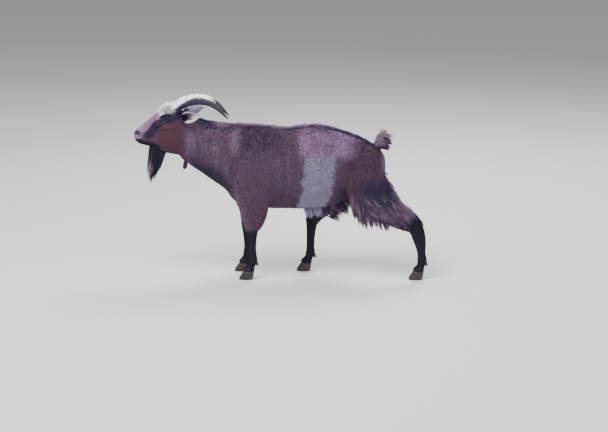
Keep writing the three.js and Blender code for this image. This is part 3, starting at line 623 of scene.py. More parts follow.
def sculpt_body(points, normals):
    """Bones and hollows that show through a coat: hips, shoulder edge, flank hollow, elbows and ribs."""
    x, y, z = points.T
    lift = np.zeros(len(points))

    def lump(cx, cy, cz, rx, ry, rz, height):
        q = ((np.abs(x) - cx) / rx) ** 2 + ((y - cy) / ry) ** 2 + ((z - cz) / rz) ** 2
        return height * np.exp(-q)

    lift += lump(86, 452, 648, 26, 30, 26, 7)  # point of the hip
    lift += lump(34, 590, 566, 22, 22, 26, 4)  # pin bones
    lift -= lump(118, 396, 596, 40, 44, 46, 7)  # hollow before the hip
    lift += lump(112, 20, 560, 30, 16, 90, 3)  # spine of the shoulder blade
    lift -= lump(120, 88, 520, 30, 18, 110, 3)  # edge behind the shoulder
    lift += lump(105, 96, 372, 24, 22, 26, 4)  # elbow
    ribs = 1.2 * np.sin(y / 9.5) * smooth_step(110, 150, y) * smooth_step(350, 300, y)
    lift += ribs * smooth_step(640, 560, z) * (z > 400)
    return points + normals * lift[:, None]


def body_skin(shape):
    """The whole skin as one mesh: every form fused, softened where muscles run together, then sculpted."""
    forms, lumps = flesh_grids()
    rough = object_from("rough_body", *joined([form[0] for form in forms] + lumps))
    outward(rough)
    remesh = rough.modifiers.new("fuse", "REMESH")
    remesh.mode = "VOXEL"
    remesh.voxel_size = shape.skin_mesh
    graph = bpy.context.evaluated_depsgraph_get()
    mesh = bpy.data.meshes.new_from_object(rough.evaluated_get(graph))
    bpy.data.objects.remove(rough)
    mesh.name = "skin"
    skin = bpy.data.objects.new("skin", mesh)
    bpy.context.scene.collection.objects.link(skin)

    p = from_frame(coordinates(mesh))
    edges = edges_of(mesh)
    on_body = smooth_step(-285, -225, p[:, 1]) * smooth_step(120, 300, p[:, 2])
    p = softened(p, edges, 0.5 * on_body, shape.soften)
    p = softened(p, edges, np.full(len(p), 0.5), 2)
    rear = smooth_step(578, 612, p[:, 1]) * smooth_step(430, 470, p[:, 2])
    p = softened(p, edges, 0.6 * rear, 40)
    set_points(mesh, p)
    set_points(mesh, sculpt_body(p, normals_of(mesh)))

    for side in SIDES:
        eye = np.array(EYE["place"]) * (side, 1, 1)
        refined(skin, eye, 30)
        refined(skin, eye, 24)
    refined(skin, (0, -505, 650), 40)  # nose and lips
    p = from_frame(coordinates(mesh))
    face = smooth_step(-330, -370, p[:, 1])
    p = softened(p, edges_of(mesh), 0.5 * face, 2)
    set_points(mesh, p)
    for sculpt in (sculpt_skull, sculpt_head):
        p = sculpt(p, normals_of(mesh))
        set_points(mesh, p)
    mesh.shade_smooth()
    return skin, forms


# ---------------------------------------------------------------- markings
# The line of the back in the side view: y, z.
TOP_LINE = [(-312, 748), (-222, 742), (-118, 715), (-56, 710), (50, 705), (190, 693), (325, 706), (390, 690)]
TOP_LINE += [(455, 670), (520, 643), (570, 614), (604, 592), (640, 562)]


def line_distance(y, z, start, end):
    """Distance of points in the side view from a straight line between two places."""
    (y0, z0), (y1, z1) = start, end
    t = np.clip(((y - y0) * (y1 - y0) + (z - z0) * (z1 - z0)) / ((y1 - y0) ** 2 + (z1 - z0) ** 2), 0, 1)
    return np.hypot(y - y0 - t * (y1 - y0), z - z0 - t * (z1 - z0))


def spot(y, z, cy, cz, ry, rz):
    """A soft oval spot in the side view, one at its centre."""
    return np.exp(-(((y - cy) / ry) ** 2) - ((z - cz) / rz) ** 2)


def markings(points, normals, limb):
    """Shares of belt, black, dark, russet, pale and beige at each point, with the ragged edges of hair."""
    x, y, z = points.T
    width, left = np.abs(x), x > 0
    eye_y, eye_z = EYE["place"][1:]
    ragged, fine = soft_noise(points, 30, 1), soft_noise(points, 10, 2)
    streak = soft_noise(points * (1, 1, 0.14), 8, 3)
    v, w = y + 7 * ragged + 4 * fine, z + 8 * ragged + 6 * fine
    head = smooth_step(-262, -296, y + (z - 650) * 0.15)
    under = np.interp(y, *zip(*TOP_LINE)) - z
    hind = (y > 200) * limb

    # The belt has a curved front and back edge and breaks off over the thigh; the same white paints a
    # highlight on the nose's bridge.
    front = np.interp(z, [312, 347, 435, 600], [206, 214, 238, 252])
    back = np.interp(z, [312, 324, 435, 600], [334, 338, 374, 388])
    belt = within(v, (front - 7, front + 7), (back + 8, back - 8)) * smooth_step(612, 572, w)
    belt *= 1 - 0.92 * hind * smooth_step(420, 380, z)
    # A painted highlight on the bridge of the nose, in the belt's white.
    belt = np.maximum(belt, 0.95 * smooth_step(0.25, 0.75, spot(y, z, -490, 694, 26, 15)))

    # Black: the lower legs, the jaw below the mouth, the nose and, half so, painted shade round the eyes.
    eye_rim_shade = smooth_step(21, 15, np.hypot(y - eye_y, z - eye_z)) * (width > 20)
    fore_leg = smooth_step(252, 222, w) * smooth_step(190, 150, y) * limb
    hind_leg = smooth_step(300, 262, w - 0.8 * np.maximum(y - 712, 0) * left) * hind
    lip = 6 * smooth_step(-450, -490, y)
    jaw = smooth_step(3, -4, z - mouth_height(y) - lip + 3 * fine) * smooth_step(-384, -410, y)
    lip_groove = smooth_step(-503, -508, y) * smooth_step(4.5, 2.5, width) * (z < 662)
    nostril = smooth_step(12, 6, nostril_distance(points))
    nose = np.maximum.reduce([nostril, 0.8 * lip_groove, 0.35 * smooth_step(-509, -513, y)])
    black = np.maximum.reduce([fore_leg, hind_leg, jaw * head, nose * head * 0.9, 0.55 * eye_rim_shade])

    # Dark: the stripe of the back, the saddle, a stripe through the eye, hams and lower hind legs; painted
    # shade round the eyes, under the horn by the ear, behind the nostrils, on the breast and undersides, and
    # in the groin.
    stripe = smooth_step(40, 16, width + 9 * ragged + 6 * fine) * smooth_step(60, 12, under) * (1 - head)
    # A painted highlight along the top of the back: the middle of the back's stripe turns beige and loses its
    # dark.
    ridge = stripe * smooth_step(22, 8, width + 5 * fine)
    ridge = ridge * smooth_step(-205, -170, v) * smooth_step(385, 330, v)
    saddle = within(v, (-58, -28), (180, 80)) * smooth_step(560, 668, w) * (0.62 + 0.5 * streak)
    after_eye = line_distance(y, z, (-316, 760), (eye_y + 32, eye_z + 24)) + 3 * fine
    before_eye = line_distance(y, z, (eye_y, eye_z), (-452, 658)) + 3 * fine
    eye_stripe = np.maximum(smooth_step(32, 19, after_eye), smooth_step(25, 11, before_eye))
    eye_stripe *= smooth_step(12, 22, width) * head
    ear_shade = 0.95 * spot(y, z, -272, 752, 30, 24) * (width > 10)
    ham = 1.25 * spot(y, z, np.where(left, 576, 500), np.where(left, 422, 434), 76, 62) * (y > 300)
    low_rear = 0.55 * hind * smooth_step(360, 300, w)
    muzzle_shade = 0.62 * spot(y, z, -473, 658, 20, 15)
    # Painted shade on the breast and every underside, by how far the surface faces down and forward.
    underside_shade = 0.95 * smooth_step(-0.05, 0.55, -0.75 * normals[:, 2] - 0.65 * normals[:, 1])
    underside_shade = underside_shade * (1 - head) * (1 - limb) * (0.45 + 0.55 * smooth_step(-70, -130, y))
    # Painted shade in the groin, between the flank and the thigh.
    groin_shade = 0.8 * spot(y, z, 412, 362, 38, 62)
    stripes = [stripe * 0.95, saddle * 0.9, eye_stripe * 0.95]
    dark = np.maximum.reduce([*stripes, eye_rim_shade, ham, low_rear, ear_shade, muzzle_shade, underside_shade, groin_shade])

    # Russet: the cheeks, the rump where the ham leaves it, and a little of the forearms.
    cheek = within(v, (-440, -398), (-258, -304)) * smooth_step(574, 606, w)
    cheek *= smooth_step(752, 712, w) * head
    rump = smooth_step(400, 470, v) * smooth_step(350, 420, w) * smooth_step(662, 616, w) * 0.85
    forearm = 0.4 * smooth_step(420, 340, w) * smooth_step(170, 120, y)
    russet = np.maximum.reduce([cheek, rump * (1 - 0.5 * ham), forearm])
    dark = np.clip(dark + 0.2 * np.maximum(streak, 0) * (1 - head) + 0.34 * rump, 0, 1)

    # Pale: paler hair with painted sunlight on the upper flank, the nose's bridge, the brow and a little of
    # the throat's side.
    # Paler hair on the top of the barrel, with painted sunlight on it.
    flank = within(v, (196, 250), (505, 450)) * smooth_step(560, 604, w) * smooth_step(700, 666, w)
    flank = flank * (0.78 + 0.3 * streak + 0.35 * soft_noise(points, 26, 12))
    slant = ((y - eye_y) * 63 - (z - eye_z) * 52) / 81.7  # distance behind the line from eye to lip
    bridge = smooth_step(-13, -24, slant + 3 * fine) * (y < eye_y + 10) * head
    brow = smooth_step(13, 24, z - eye_z - 0.9 * (y - eye_y) + 3 * fine) * (y > eye_y - 14) * head
    face_top = np.maximum(bridge * 0.85, brow)
    pale = np.maximum.reduce([flank, face_top * 0.95, 0.4 * spot(y, z, -262, 640, 26, 70)])

    # Beige: streaks of the neck and throat, a patch on the shoulder, the tail's root, the near thigh's rear
    # edge, and a painted highlight along the middle of the back's stripe.
    neck = (1 - head) * smooth_step(-60, -110, y + 0.35 * (z - 560))
    patch = 0.6 * spot(y, z, -62, 650, 26, 44)
    tail_root = smooth_step(585, 606, y) * smooth_step(500, 520, z) * smooth_step(616, 600, z)
    rear = 0.75 * smooth_step(26, 8, line_distance(y, z, (640, 440), (745, 322))) * left
    throat = 0.3 * neck * smooth_step(40, -60, z - 520 + 0.6 * (y + 250))
    neck_streaks = 0.32 * neck * (0.8 + 1.1 * streak)
    beige = np.maximum.reduce([neck_streaks, patch, tail_root, rear * limb, throat, 0.9 * ridge])
    dark = dark * (1 - 0.8 * ridge)
    return [np.clip(share, 0, 1) for share in (belt, black, dark, russet, pale, beige)]


# ---------------------------------------------------------------- materials
def fill(tree, node, inputs):
    """Gives each input of a node its plain value, or a link where the value is another node's socket."""
    for name, value in inputs.items():
        if isinstance(value, bpy.types.NodeSocket):
            tree.links.new(value, node.inputs[name])
        else:
            node.inputs[name].default_value = value


def add_node(tree, kind, inputs=None, **settings):
    """One shader node with its settings, plain values and links."""
    node = tree.nodes.new(kind)
    for name, value in settings.items():
        setattr(node, name, value)
    fill(tree, node, inputs or {})
    return node


def new_material(name):
    """A material with nothing in its tree but its shader and output."""
    material = bpy.data.materials.new(name)
    material.use_nodes = True
    tree = material.node_tree
    tree.nodes.clear()
    shader = add_node(tree, "ShaderNodeBsdfPrincipled")
    add_node(tree, "ShaderNodeOutputMaterial", {"Surface": shader.outputs["BSDF"]}, is_active_output=True)
    return material, tree, shader


def object_place(tree):
    """Each point's own place on its object, in metres."""
    return add_node(tree, "ShaderNodeTexCoord").outputs["Object"]


def layered(tree, colour, layers):
    """A colour with others laid over it in turn, each by its share."""
    for share, over in layers:
        node = add_node(tree, "ShaderNodeMix", {0: share, 6: colour, 7: over}, data_type="RGBA")
        colour = node.outputs[2]
    return colour


def painted(tree, name):
    """The red, green, blue and fourth number of a colour layer painted on the mesh."""
    layer = add_node(tree, "ShaderNodeAttribute", attribute_name=name)
    parts = add_node(tree, "ShaderNodeSeparateColor", {"Color": layer.outputs["Color"]})
    return [parts.outputs[channel] for channel in ("Red", "Green", "Blue")] + [layer.outputs["Alpha"]]


def coat_colour(tree, colours, light=None):
    """The coat's colour from the shares painted on the mesh: the same for the skin and for each tuft."""
    belt, black, dark, height = painted(tree, "marks")
    russet, pale, beige, chance = painted(tree, "tones")
    colour = layered(tree, opaque(colours.brown), (
        (russet, opaque(colours.russet)),
        (pale, opaque(colours.pale)),
        (beige, opaque(colours.tips)),
        (dark, opaque(colours.dark)),
        (belt, opaque(light or colours.belt)),
        (black, opaque(colours.black)),
    ))
    # Neighbouring hairs differ a little in depth of colour, and each is darker towards its root: painted
    # shade deep in the coat.
    depths = []
    for value, darkest, lightest in ((chance, 0.78, 1.22), (height, 0.8, 1.16)):
        inputs = {"Value": value, "To Min": darkest, "To Max": lightest}
        depths.append(add_node(tree, "ShaderNodeMapRange", inputs).outputs[0])
    value = add_node(tree, "ShaderNodeMath", dict(enumerate(depths)), operation="MULTIPLY")
    shade = add_node(tree, "ShaderNodeHueSaturation", {"Value": value.outputs[0], "Color": colour})
    return shade.outputs["Color"]


def hair_material(name, colours, light=None):
    """Goat hair: guard hairs with a faint sheen, dull where they lie across the light."""
    material, tree, shader = new_material(name)
    fill(tree, shader, {
        "Base Color": coat_colour(tree, colours, light),
        "Roughness": 0.62,
        "Specular IOR Level": 0.2,
        "Sheen Weight": 0.05,
        "Sheen Roughness": 0.5,
    })
    return material


def skin_material(name, colours, light=None):
    """Short hair lying flat on hide: the coat's own colours, dappled and bumped by fine hairs."""
    material, tree, shader = new_material(name)
    # Real hairs lie closer; these are drawn 2.2 mm apart and twice as long as wide, so that they show.
    along = {"Vector": object_place(tree), "Scale": (1.0, 0.45, 0.45)}
    stretch = add_node(tree, "ShaderNodeMapping", along)
    inputs = {"Vector": stretch.outputs["Vector"], "Scale": 1 / 0.0022, "Detail": 3.0, "Roughness": 0.6}
    hairs = add_node(tree, "ShaderNodeTexNoise", inputs).outputs["Fac"]
    bump = add_node(tree, "ShaderNodeBump", {"Height": hairs, "Strength": 0.55, "Distance": 0.0012})
    inputs = {"Value": hairs, "From Min": 0.3, "From Max": 0.7, "To Min": 0.78, "To Max": 1.1}
    dapple = add_node(tree, "ShaderNodeMapRange", inputs).outputs[0]
    colour = coat_colour(tree, colours, light)
    shade = add_node(tree, "ShaderNodeHueSaturation", {"Value": dapple, "Color": colour})
    # The bare wet skin of the nose shines a little, the rest is as dull as hair.
    wet = add_node(tree, "ShaderNodeAttribute", attribute_name="bare").outputs["Fac"]
    gloss = add_node(tree, "ShaderNodeMapRange", {"Value": wet, "To Min": 0.72, "To Max": 0.36})
    fill(tree, shader, {
        "Base Color": shade.outputs["Color"],
        "Roughness": gloss.outputs[0],
        "Specular IOR Level": 0.35,
        "Normal": bump.outputs["Normal"],
    })
    return material


def horn_material():
    """Horn keratin, grown in rings: a painted highlight, scuffed, on top, painted violet-brown shade below,
    dark grey at the tip.
    """
    material, tree, shader = new_material("horn_keratin")
    upper, tip, groove, _ = painted(tree, "marks")
    # Scuffs and flakes about 9 mm wide break the edge of the painted highlight on top.
    inputs = {"Vector": object_place(tree), "Scale": 1 / 0.009, "Detail": 4.0, "Roughness": 0.65}
    flakes = add_node(tree, "ShaderNodeTexNoise", inputs).outputs["Fac"]
    ragged = add_node(tree, "ShaderNodeMath", {0: flakes, 1: 0.5, 2: -0.3}, operation="MULTIPLY_ADD")
    inputs = {0: ragged.outputs[0], 1: upper}
    share = add_node(tree, "ShaderNodeMath", inputs, operation="ADD", use_clamp=True)
    # Painted shade below, with the painted highlight on top, the dark tip and the grooves laid over it.
    colour = layered(tree, opaque(linear("#281a3c")), (
        (share.outputs[0], opaque(linear("#fbf8ff"))),
        (tip, opaque(linear("#2c2830"))),
        (groove, opaque(linear("#463a48"))),
    ))
    bump = add_node(tree, "ShaderNodeBump", {"Height": flakes, "Strength": 0.4, "Distance": 0.0012})
    fill(tree, shader, {
        "Base Color": colour,
        "Roughness": 0.5,
        "Specular IOR Level": 0.45,
        "Normal": bump.outputs["Normal"],
    })
    return material


def hoof_material():
    """Hoof keratin, dark and a little glossy, with soft waves of growth and dusty patches 12 mm wide."""
    material, tree, shader = new_material("hoof_keratin")
    place = object_place(tree)
    # Waves 19 mm apart: the texture's wave is a tenth of pi long at scale 1.
    inputs = {"Vector": place, "Scale": 1 / 0.06, "Distortion": 2.0, "Detail": 2.0}
    lines = add_node(tree, "ShaderNodeTexWave", inputs, bands_direction="Z")
    dust = add_node(tree, "ShaderNodeTexNoise", {"Vector": place, "Scale": 1 / 0.012, "Detail": 4.0})
    dusty = [(dust.outputs["Fac"], opaque(linear("#373034")))]
    inputs = {"Height": lines.outputs["Fac"], "Strength": 0.5, "Distance": 0.0006}
    bump = add_node(tree, "ShaderNodeBump", inputs)
    fill(tree, shader, {
        "Base Color": layered(tree, opaque(linear("#1b171b")), dusty),
        "Roughness": 0.48,
        "Normal": bump.outputs["Normal"],
    })
    return material


def eye_material():
    """Eyeball under a wet cornea: brown iris with darker threads, a level black slot, brown-black rim."""
    material, tree, shader = new_material("eyeball_under_cornea")
    pupil, iris, _, _ = painted(tree, "marks")
    inputs = {"Vector": object_place(tree), "Scale": 1 / 0.0015, "Detail": 2.0}  # threads 1.5 mm apart
    threads = add_node(tree, "ShaderNodeTexNoise", inputs).outputs["Fac"]
    brown = layered(tree, opaque(linear("#0e0908")), [(threads, opaque(linear("#26170d")))])
    colour = layered(tree, opaque(linear("#2b2023")), [(iris, brown), (pupil, opaque(linear("#08070a")))])
    fill(tree, shader, {
        "Base Color": colour,
        "Roughness": 0.12,
        "IOR": 1.38,
        "Specular IOR Level": 0.3,
        "Coat Weight": 0.6,
        "Coat Roughness": 0.03,
    })
    return material


# ---------------------------------------------------------------- the coat
class Surface:
    """A mesh that hair grows on: its points in millimetres, its faces, and what is known at each point."""

    def __init__(self, obj, fields):
        mesh = obj.data
        mesh.calc_loop_triangles()
        count = len(mesh.loop_triangles)
        self.points = from_frame(coordinates(mesh))
        self.normals = normals_of(mesh)
        self.corners = np.empty(count * 3, np.int32)
        mesh.loop_triangles.foreach_get("vertices", self.corners)
        loops = np.empty(count * 3, np.int32)
        mesh.loop_triangles.foreach_get("loops", loops)
        self.corners = self.corners.reshape(-1, 3)
        uv = np.empty(len(mesh.loops) * 2)
        mesh.uv_layers["OFBake"].data.foreach_get("uv", uv)
        self.uv = uv.reshape(-1, 2)[loops].reshape(-1, 3, 2)
        a, b, c = (self.points[self.corners[:, k]] for k in range(3))
        self.area = np.linalg.norm(np.cross(b - a, c - a), axis=1) / 200  # square centimetres
        self.middle = (a + b + c) / 3
        self.facing = unit(self.normals[self.corners].mean(axis=1))
        self.tree = BVHTree.FromPolygons(self.points.tolist(), self.corners.tolist())
        self.fields = fields  # name: array, one row a point

    def with_length(self, length):
        """The same surface where the hair has another length."""
        other = copy.copy(self)
        other.fields = {**self.fields, "length": np.broadcast_to(length, len(self.points))}
        return other

    def face_value(self, name):
        return self.fields[name][self.corners].mean(axis=1)

    def roots(self, density, random):
        """Places for tufts, this many on a square centimetre of each face, spread evenly."""
        wanted = density * self.area
        face = np.repeat(np.arange(len(wanted)), np.floor(wanted + random.random(len(wanted))).astype(int))
        share = random.dirichlet((1, 1, 1), len(face))
        corner = self.corners[face]

        def at(values):
            return np.einsum("nk,nk...->n...", share, values)

        found = {name: at(values[corner]) for name, values in self.fields.items()}
        found["place"] = at(self.points[corner])
        found["normal"] = unit(at(self.normals[corner]))
        found["uv"] = at(self.uv[face])
        return found

    def nearest(self, points):
        near, up = np.empty_like(points), np.empty_like(points)
        find = self.tree.find_nearest
        for i, p in enumerate(points.tolist()):
            location, normal, _, _ = find(p)
            near[i] = location
            up[i] = normal
        return near, up


def hair_paths(surface, root, way, length, rise, rings, fall, hangs, sink, wave):
    """The middle line of each tuft: it leaves the skin, follows it or hangs clear, and never goes back in."""
    count = len(length)
    path = np.empty((rings + 1, count, 3))
    ups = np.empty((rings + 1, count, 3))
    path[0], ups[0] = root["place"] - root["normal"] * sink, root["normal"]
    here, up = root["place"].copy(), root["normal"].copy()
    step = (length / rings)[:, None]
    for k in range(1, rings + 1):
        s = k / rings
        here = here + way * step
        near, now = surface.nearest(here)
        up = unit(0.5 * up + now)
        height = np.sum((here - near) * now, axis=1)
        want = rise * (0.25 + 0.75 * s)
        free = (hangs & (height > want))[:, None]
        here = np.where(free, here, near + now * want[:, None])
        turned = flattened(way, now)
        way = np.where(free, way, 0.7 * turned + 0.3 * way if hangs else turned)
        way = unit(way + DOWN * (fall / rings))
        path[k], ups[k] = here, up
    for k in range(1, rings + 1):
        bend = np.sin(wave[:, 1] + 5.0 * k / rings) * wave[:, 0] * k / rings
        path[k] += np.cross(ups[k], way) * bend[:, None]
    return path, ups


def drawn_to_locks(path, root, share, size, random):
    """Tips drawn towards those of a leading tuft nearby, so that the coat parts into locks."""
    count = path.shape[1]
    leaders = random.permutation(count)[: max(1, count // size)]
    tree = tree_of(root["place"][leaders])
    chosen = np.array([tree.find(p)[1] for p in root["place"].tolist()])
    lead = path[:, leaders[chosen]]
    for k in range(1, len(path)):
        pull = share * (k / (len(path) - 1)) ** 1.5
        path[k] += (lead[k] - path[k]) * pull
    return path, leaders[chosen]


def tuft_arrays(path, ups, width, keel=0.7):
    """Vertices and triangles of three-sided tufts along their middle lines, each ending in a point."""
    rings, count = len(path) - 1, path.shape[1]
    along = unit(np.gradient(path, axis=0))
    across = unit(np.cross(along, ups))
    face = unit(np.cross(across, along))
    s = np.linspace(0, 1, rings + 1)
    shape = np.interp(s, [0, 0.3, 0.65, 1], [0.62, 1.0, 0.8, 0.0])
    points = np.empty((count, rings * 3 + 1, 3))
    for k in range(rings):
        half = (width * shape[k] / 2)[:, None]
        points[:, 3 * k] = path[k] - across[k] * half
        points[:, 3 * k + 1] = path[k] + across[k] * half
        points[:, 3 * k + 2] = path[k] + face[k] * half * keel
    points[:, -1] = path[-1]
    pairs = ((0, 1), (1, 2), (2, 0))
    faces = [(0, 2, 1)]
    for k in range(rings - 1):
        for a, b in pairs:
            low, high = 3 * k, 3 * k + 3
            faces += [(low + a, low + b, high + b), (low + a, high + b, high + a)]
    last = 3 * (rings - 1)
    faces += [(last + a, last + b, 3 * rings) for a, b in pairs]
    height = np.repeat(s[:-1], 3).tolist() + [1.0]
    return points, np.array(faces), np.array(height)


def tuft_object(name, points, faces, height, root, material, slot_name):
    """One piece of the coat: every tuft's mesh, its colours, and its patch of the skin's own unwrap."""
    count, size = points.shape[:2]
    mesh = bpy.data.meshes.new(name)
    corners = (faces[None] + (np.arange(count) * size)[:, None, None]).reshape(-1)
    total = len(corners)
    if total // 3 >= MOST_TRIANGLES:
        raise RuntimeError(f"{name} has {total // 3} triangles")
    mesh.vertices.add(count * size)
    mesh.vertices.foreach_set("co", to_frame(points.reshape(-1, 3)).astype(np.float32).ravel())
    mesh.loops.add(total)
    mesh.loops.foreach_set("vertex_index", corners.astype(np.int32))
    mesh.polygons.add(total // 3)
    mesh.polygons.foreach_set("loop_start", np.arange(0, total, 3, dtype=np.int32))
    mesh.update(calc_edges=True)
    mesh.shade_smooth()
    tall = np.tile(height, count)
    shares = np.repeat(root["shares"], size, axis=0)
    bleach = (np.repeat(root["bleach"], size) * smooth_step(0.35, 0.9, tall))[:, None]
    # Bleached tips lose their markings and turn to the last of the six shares, beige.
    shares = shares * np.where(np.arange(6) == 5, 1, 1 - 0.9 * bleach)
    shares[:, 5:] = np.maximum(shares[:, 5:], bleach)
    paint_coat(mesh, shares, tall, np.repeat(root["chance"], size))
    side = np.array(([-0.5, 0.5, 0.0] * (size // 3 + 1))[:size])
    patch = np.stack([np.tile(side, count), tall - 0.5], axis=1) * PATCH
    spots = np.repeat(root["uv"], size, axis=0) + patch
    layer = mesh.uv_layers.new(name="OFBake")
    layer.data.foreach_set("uv", np.clip(spots[corners], 0, 1).astype(np.float32).ravel())
    mesh.materials.append(material)
    obj = bpy.data.objects.new(name, mesh)
    bpy.context.scene.collection.objects.link(obj)
    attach(obj, "root")
    return obj


def scattered(way, normals, spread, random):
    """Directions turned by chance about the surface's normal."""
    turn = np.cross(normals, way)
    return unit(way + turn * (random.normal(0, 1, len(way)) * spread)[:, None])


def unwrap(obj):
    """An unwrap of the piece's own shape, for its baked colours."""
    layer = obj.data.uv_layers.new(name="OFBake")
    obj.data.uv_layers.active = layer
    bpy.ops.object.select_all(action="DESELECT")
    bpy.context.view_layer.objects.active = obj
    obj.select_set(True)
    bpy.ops.object.mode_set(mode="EDIT")
    bpy.ops.mesh.select_all(action="SELECT")
    bpy.ops.uv.smart_project(angle_limit=1.15, island_margin=0.002)
    bpy.ops.object.mode_set(mode="OBJECT")
    obj.select_set(False)


def coat_fields(obj, forms):
    """What the coat needs at each point of the skin: its lie, its length and its markings."""
    points, normals = from_frame(coordinates(obj.data)), normals_of(obj.data)
    edges = edges_of(obj.data)
    places, samples = lie_samples(forms)
    tree = tree_of(places)
    near = np.array([[hit[1] for hit in tree.find_n(p, 5)] for p in points.tolist()])
    table = softened(samples[near].mean(axis=1), edges, np.full(len(points), 0.6), 14)
    limb = smooth_step(0.35, 0.65, table[:, 4])
    x, y, z = points.T
    swirl = soft_noise(points, 90, 5)[:, None] * 0.18
    way = unit(flattened(table[:, :3], normals) + 1e-6)
    way = unit(way + np.cross(normals, way) * swirl)
    # The hair is shorter round the eyes and longer along the top of the back.
    length = np.minimum(table[:, 3], 3.5 + 0.35 * np.maximum(eye_distance(points) - 15, 0))
    length *= 1 + 0.45 * smooth_step(36, 10, np.abs(x)) * (normals[:, 2] > 0.5) * smooth_step(-250, -200, y)
    shares = np.stack(markings(points, normals, limb), axis=1)
    shares = softened(shares, edges, np.full(len(points), 0.5), 1)
    bare = smooth_step(8, 5, nostril_distance(points))
    bare = np.maximum(bare, smooth_step(-507, -511, y) * smooth_step(9, 5, np.abs(x)) * (z > 640))
    return {"way": way, "length": length, "shares": shares, "limb": limb, "bare": bare}


def grow(
    surface, name, density, random, rise, width, rings=2, clump=0.4, group=12, fall=0.0, hangs=False,
    spread=0.14, reach=1.0, bleach=0.0, way=None, sink=1.2, waves=0.0,
):
    """A layer of tufts over a surface, as arrays ready to be parted into pieces.

    The tufts stand this high (rise), this wide, with this many joints (rings). They draw together (clump) in
    groups, are pulled down (fall), may hang clear of the skin (hangs) and turn by chance (spread). Their
    length is the coat's own times reach. They lie along the coat or along way, and are rooted this deep
    (sink). waves is how far they curl, and bleach how far their tips turn beige.
    """
    root = surface.roots(density, random)
    count = len(root["place"])
    length = root["length"] * reach * random.uniform(0.72, 1.22, count)
    lie = unit(flattened(root["way"], root["normal"])) if way is None else unit(way(root))
    lie = scattered(lie, root["normal"], spread, random)
    rises = np.broadcast_to(rise, count) * random.uniform(0.6, 1.35, count)
    wave = np.stack([waves * random.uniform(0.4, 1.3, count), 4 * soft_noise(root["place"], 40, 7)], axis=1)
    path, ups = hair_paths(surface, root, lie, length, rises, rings, fall, hangs, sink, wave)
    path, leader = drawn_to_locks(path, root, clump, group, random)
    chance = 0.5 + 0.3 * random.normal(0, 0.6, count) + 0.25 * (random.random(count)[leader] - 0.5)
    root["chance"] = np.clip(chance, 0, 1)
    bleached = bleach(root) if callable(bleach) else bleach
    root["bleach"] = np.broadcast_to(bleached, count) * random.uniform(0.3, 1.2, count)
    widths = width * random.uniform(0.75, 1.2, count) * np.clip(length / 22, 0.45, 1.15)
    points, faces, height = tuft_arrays(path, ups, widths)
    return {"name": name, "points": points, "faces": faces, "height": height, "root": root}


def parted(layer, labels, material, slot_name):
    """The layer as pieces, one for each label, and more where a piece would be too heavy."""
    labels = np.broadcast_to(np.asarray(labels, dtype=object), len(layer["points"]))
    most = PARTED_AT // len(layer["faces"])
    made = []
    for label in sorted(set(labels)):
        chosen = np.flatnonzero(labels == label)
        parts = max(1, math.ceil(len(chosen) / most))
        chosen = chosen[np.argsort(layer["root"]["place"][chosen][:, 1], kind="stable")]
        for i, some in enumerate(np.array_split(chosen, parts)):
            name = f"{layer['name']}_{label}" + (f"_{i + 1}" if parts > 1 else "")
            root = {key: value[some] for key, value in layer["root"].items()}
            shape = (layer["points"][some], layer["faces"], layer["height"])
            made.append(tuft_object(name, *shape, root, material, slot_name))
    return made


def zone_of(place):
    """The name of the part of the body that each place lies on."""
    _, y, z = place.T
    names = np.full(len(place), "flank", dtype=object)
    names[y < 60] = "shoulder"
    names[y < -100] = "neck"
    names[y < -270] = "head"
    names[y > 430] = "rump"
    names[z < 290] = "legs"
    return names


# ---------------------------------------------------------------- the long hair, one function for each group
def patchy(root, cell):
    """Locks that the sun has bleached stand beside darker ones."""
    return smooth_step(-0.25, 0.45, soft_noise(root["place"], cell, 8))


def leaning(out, way):
    """A lie that takes this much of the surface's normal and one way for all."""
    return lambda root: root["normal"] * out + np.array(way)


def grow_breeches(surface, random, hair):
    """Long hair of the thighs and gaskins, bleached at its tips, that hangs down and back."""
    x, y, z = surface.middle.T
    left = smooth_step(470, 520, y) * smooth_step(560, 470, z) * smooth_step(238, 268, z) * (x > 0)
    lower = smooth_step(430, 380, z + 0.35 * (y - 560))
    right = smooth_step(330, 370, y) * smooth_step(540, 460, z) * smooth_step(255, 290, z) * (x < 0)
    density = surface.face_value("limb") * (left * (0.6 + 2.4 * lower) + right * 1.6)
    density = density * smooth_step(14, 30, np.abs(x))

    def back(root):
        return unit(0.5 * root["way"] + np.array([0, 0.85, -0.42]) + 0.1 * root["normal"])

    def bleached(root):
        _, y, z = root["place"].T
        return 1.25 * smooth_step(500, 400, z) * patchy(root, 14) * smooth_step(735, 685, y)

    layer = grow(
        surface, "breeches", 1.4 * density, random, rise=9.0, width=3.1, rings=5, clump=0.7, group=16,
        fall=0.5, hangs=True, spread=0.16, reach=1.45, waves=4.0, way=back, bleach=bleached,
    )
    parted(layer, np.where(layer["root"]["place"][:, 0] > 0, "left", "right"), hair["guard"], "brown_hair")


def grow_skirt(surface, random, hair):
    """The longest hair, from the front edge of the stretched thigh, that hangs down and back."""
    x, y, z = surface.middle.T
    ahead = smooth_step(0.15, 0.6, -0.8 * surface.facing[:, 1] - 0.6 * surface.facing[:, 2])
    density = surface.face_value("limb") * ahead * (x > 24) * smooth_step(425, 445, y)
    density = density * smooth_step(690, 640, y) * smooth_step(470, 440, z) * smooth_step(262, 290, z)
    length = np.interp(surface.points[:, 1], [440, 480, 520, 570, 640, 700], [132, 120, 92, 64, 46, 34])
    layer = grow(
        surface.with_length(length), "skirt", 4.5 * density, random, rise=7.0, width=3.3, rings=6, clump=0.72,
        group=22, fall=0.35, hangs=True, spread=0.12, waves=5.0, way=leaning(0.2, (0, 0.42, -1.0)),
        bleach=lambda root: 1.15 * patchy(root, 12),
    )
    parted(layer, "left", hair["guard"], "brown_hair")


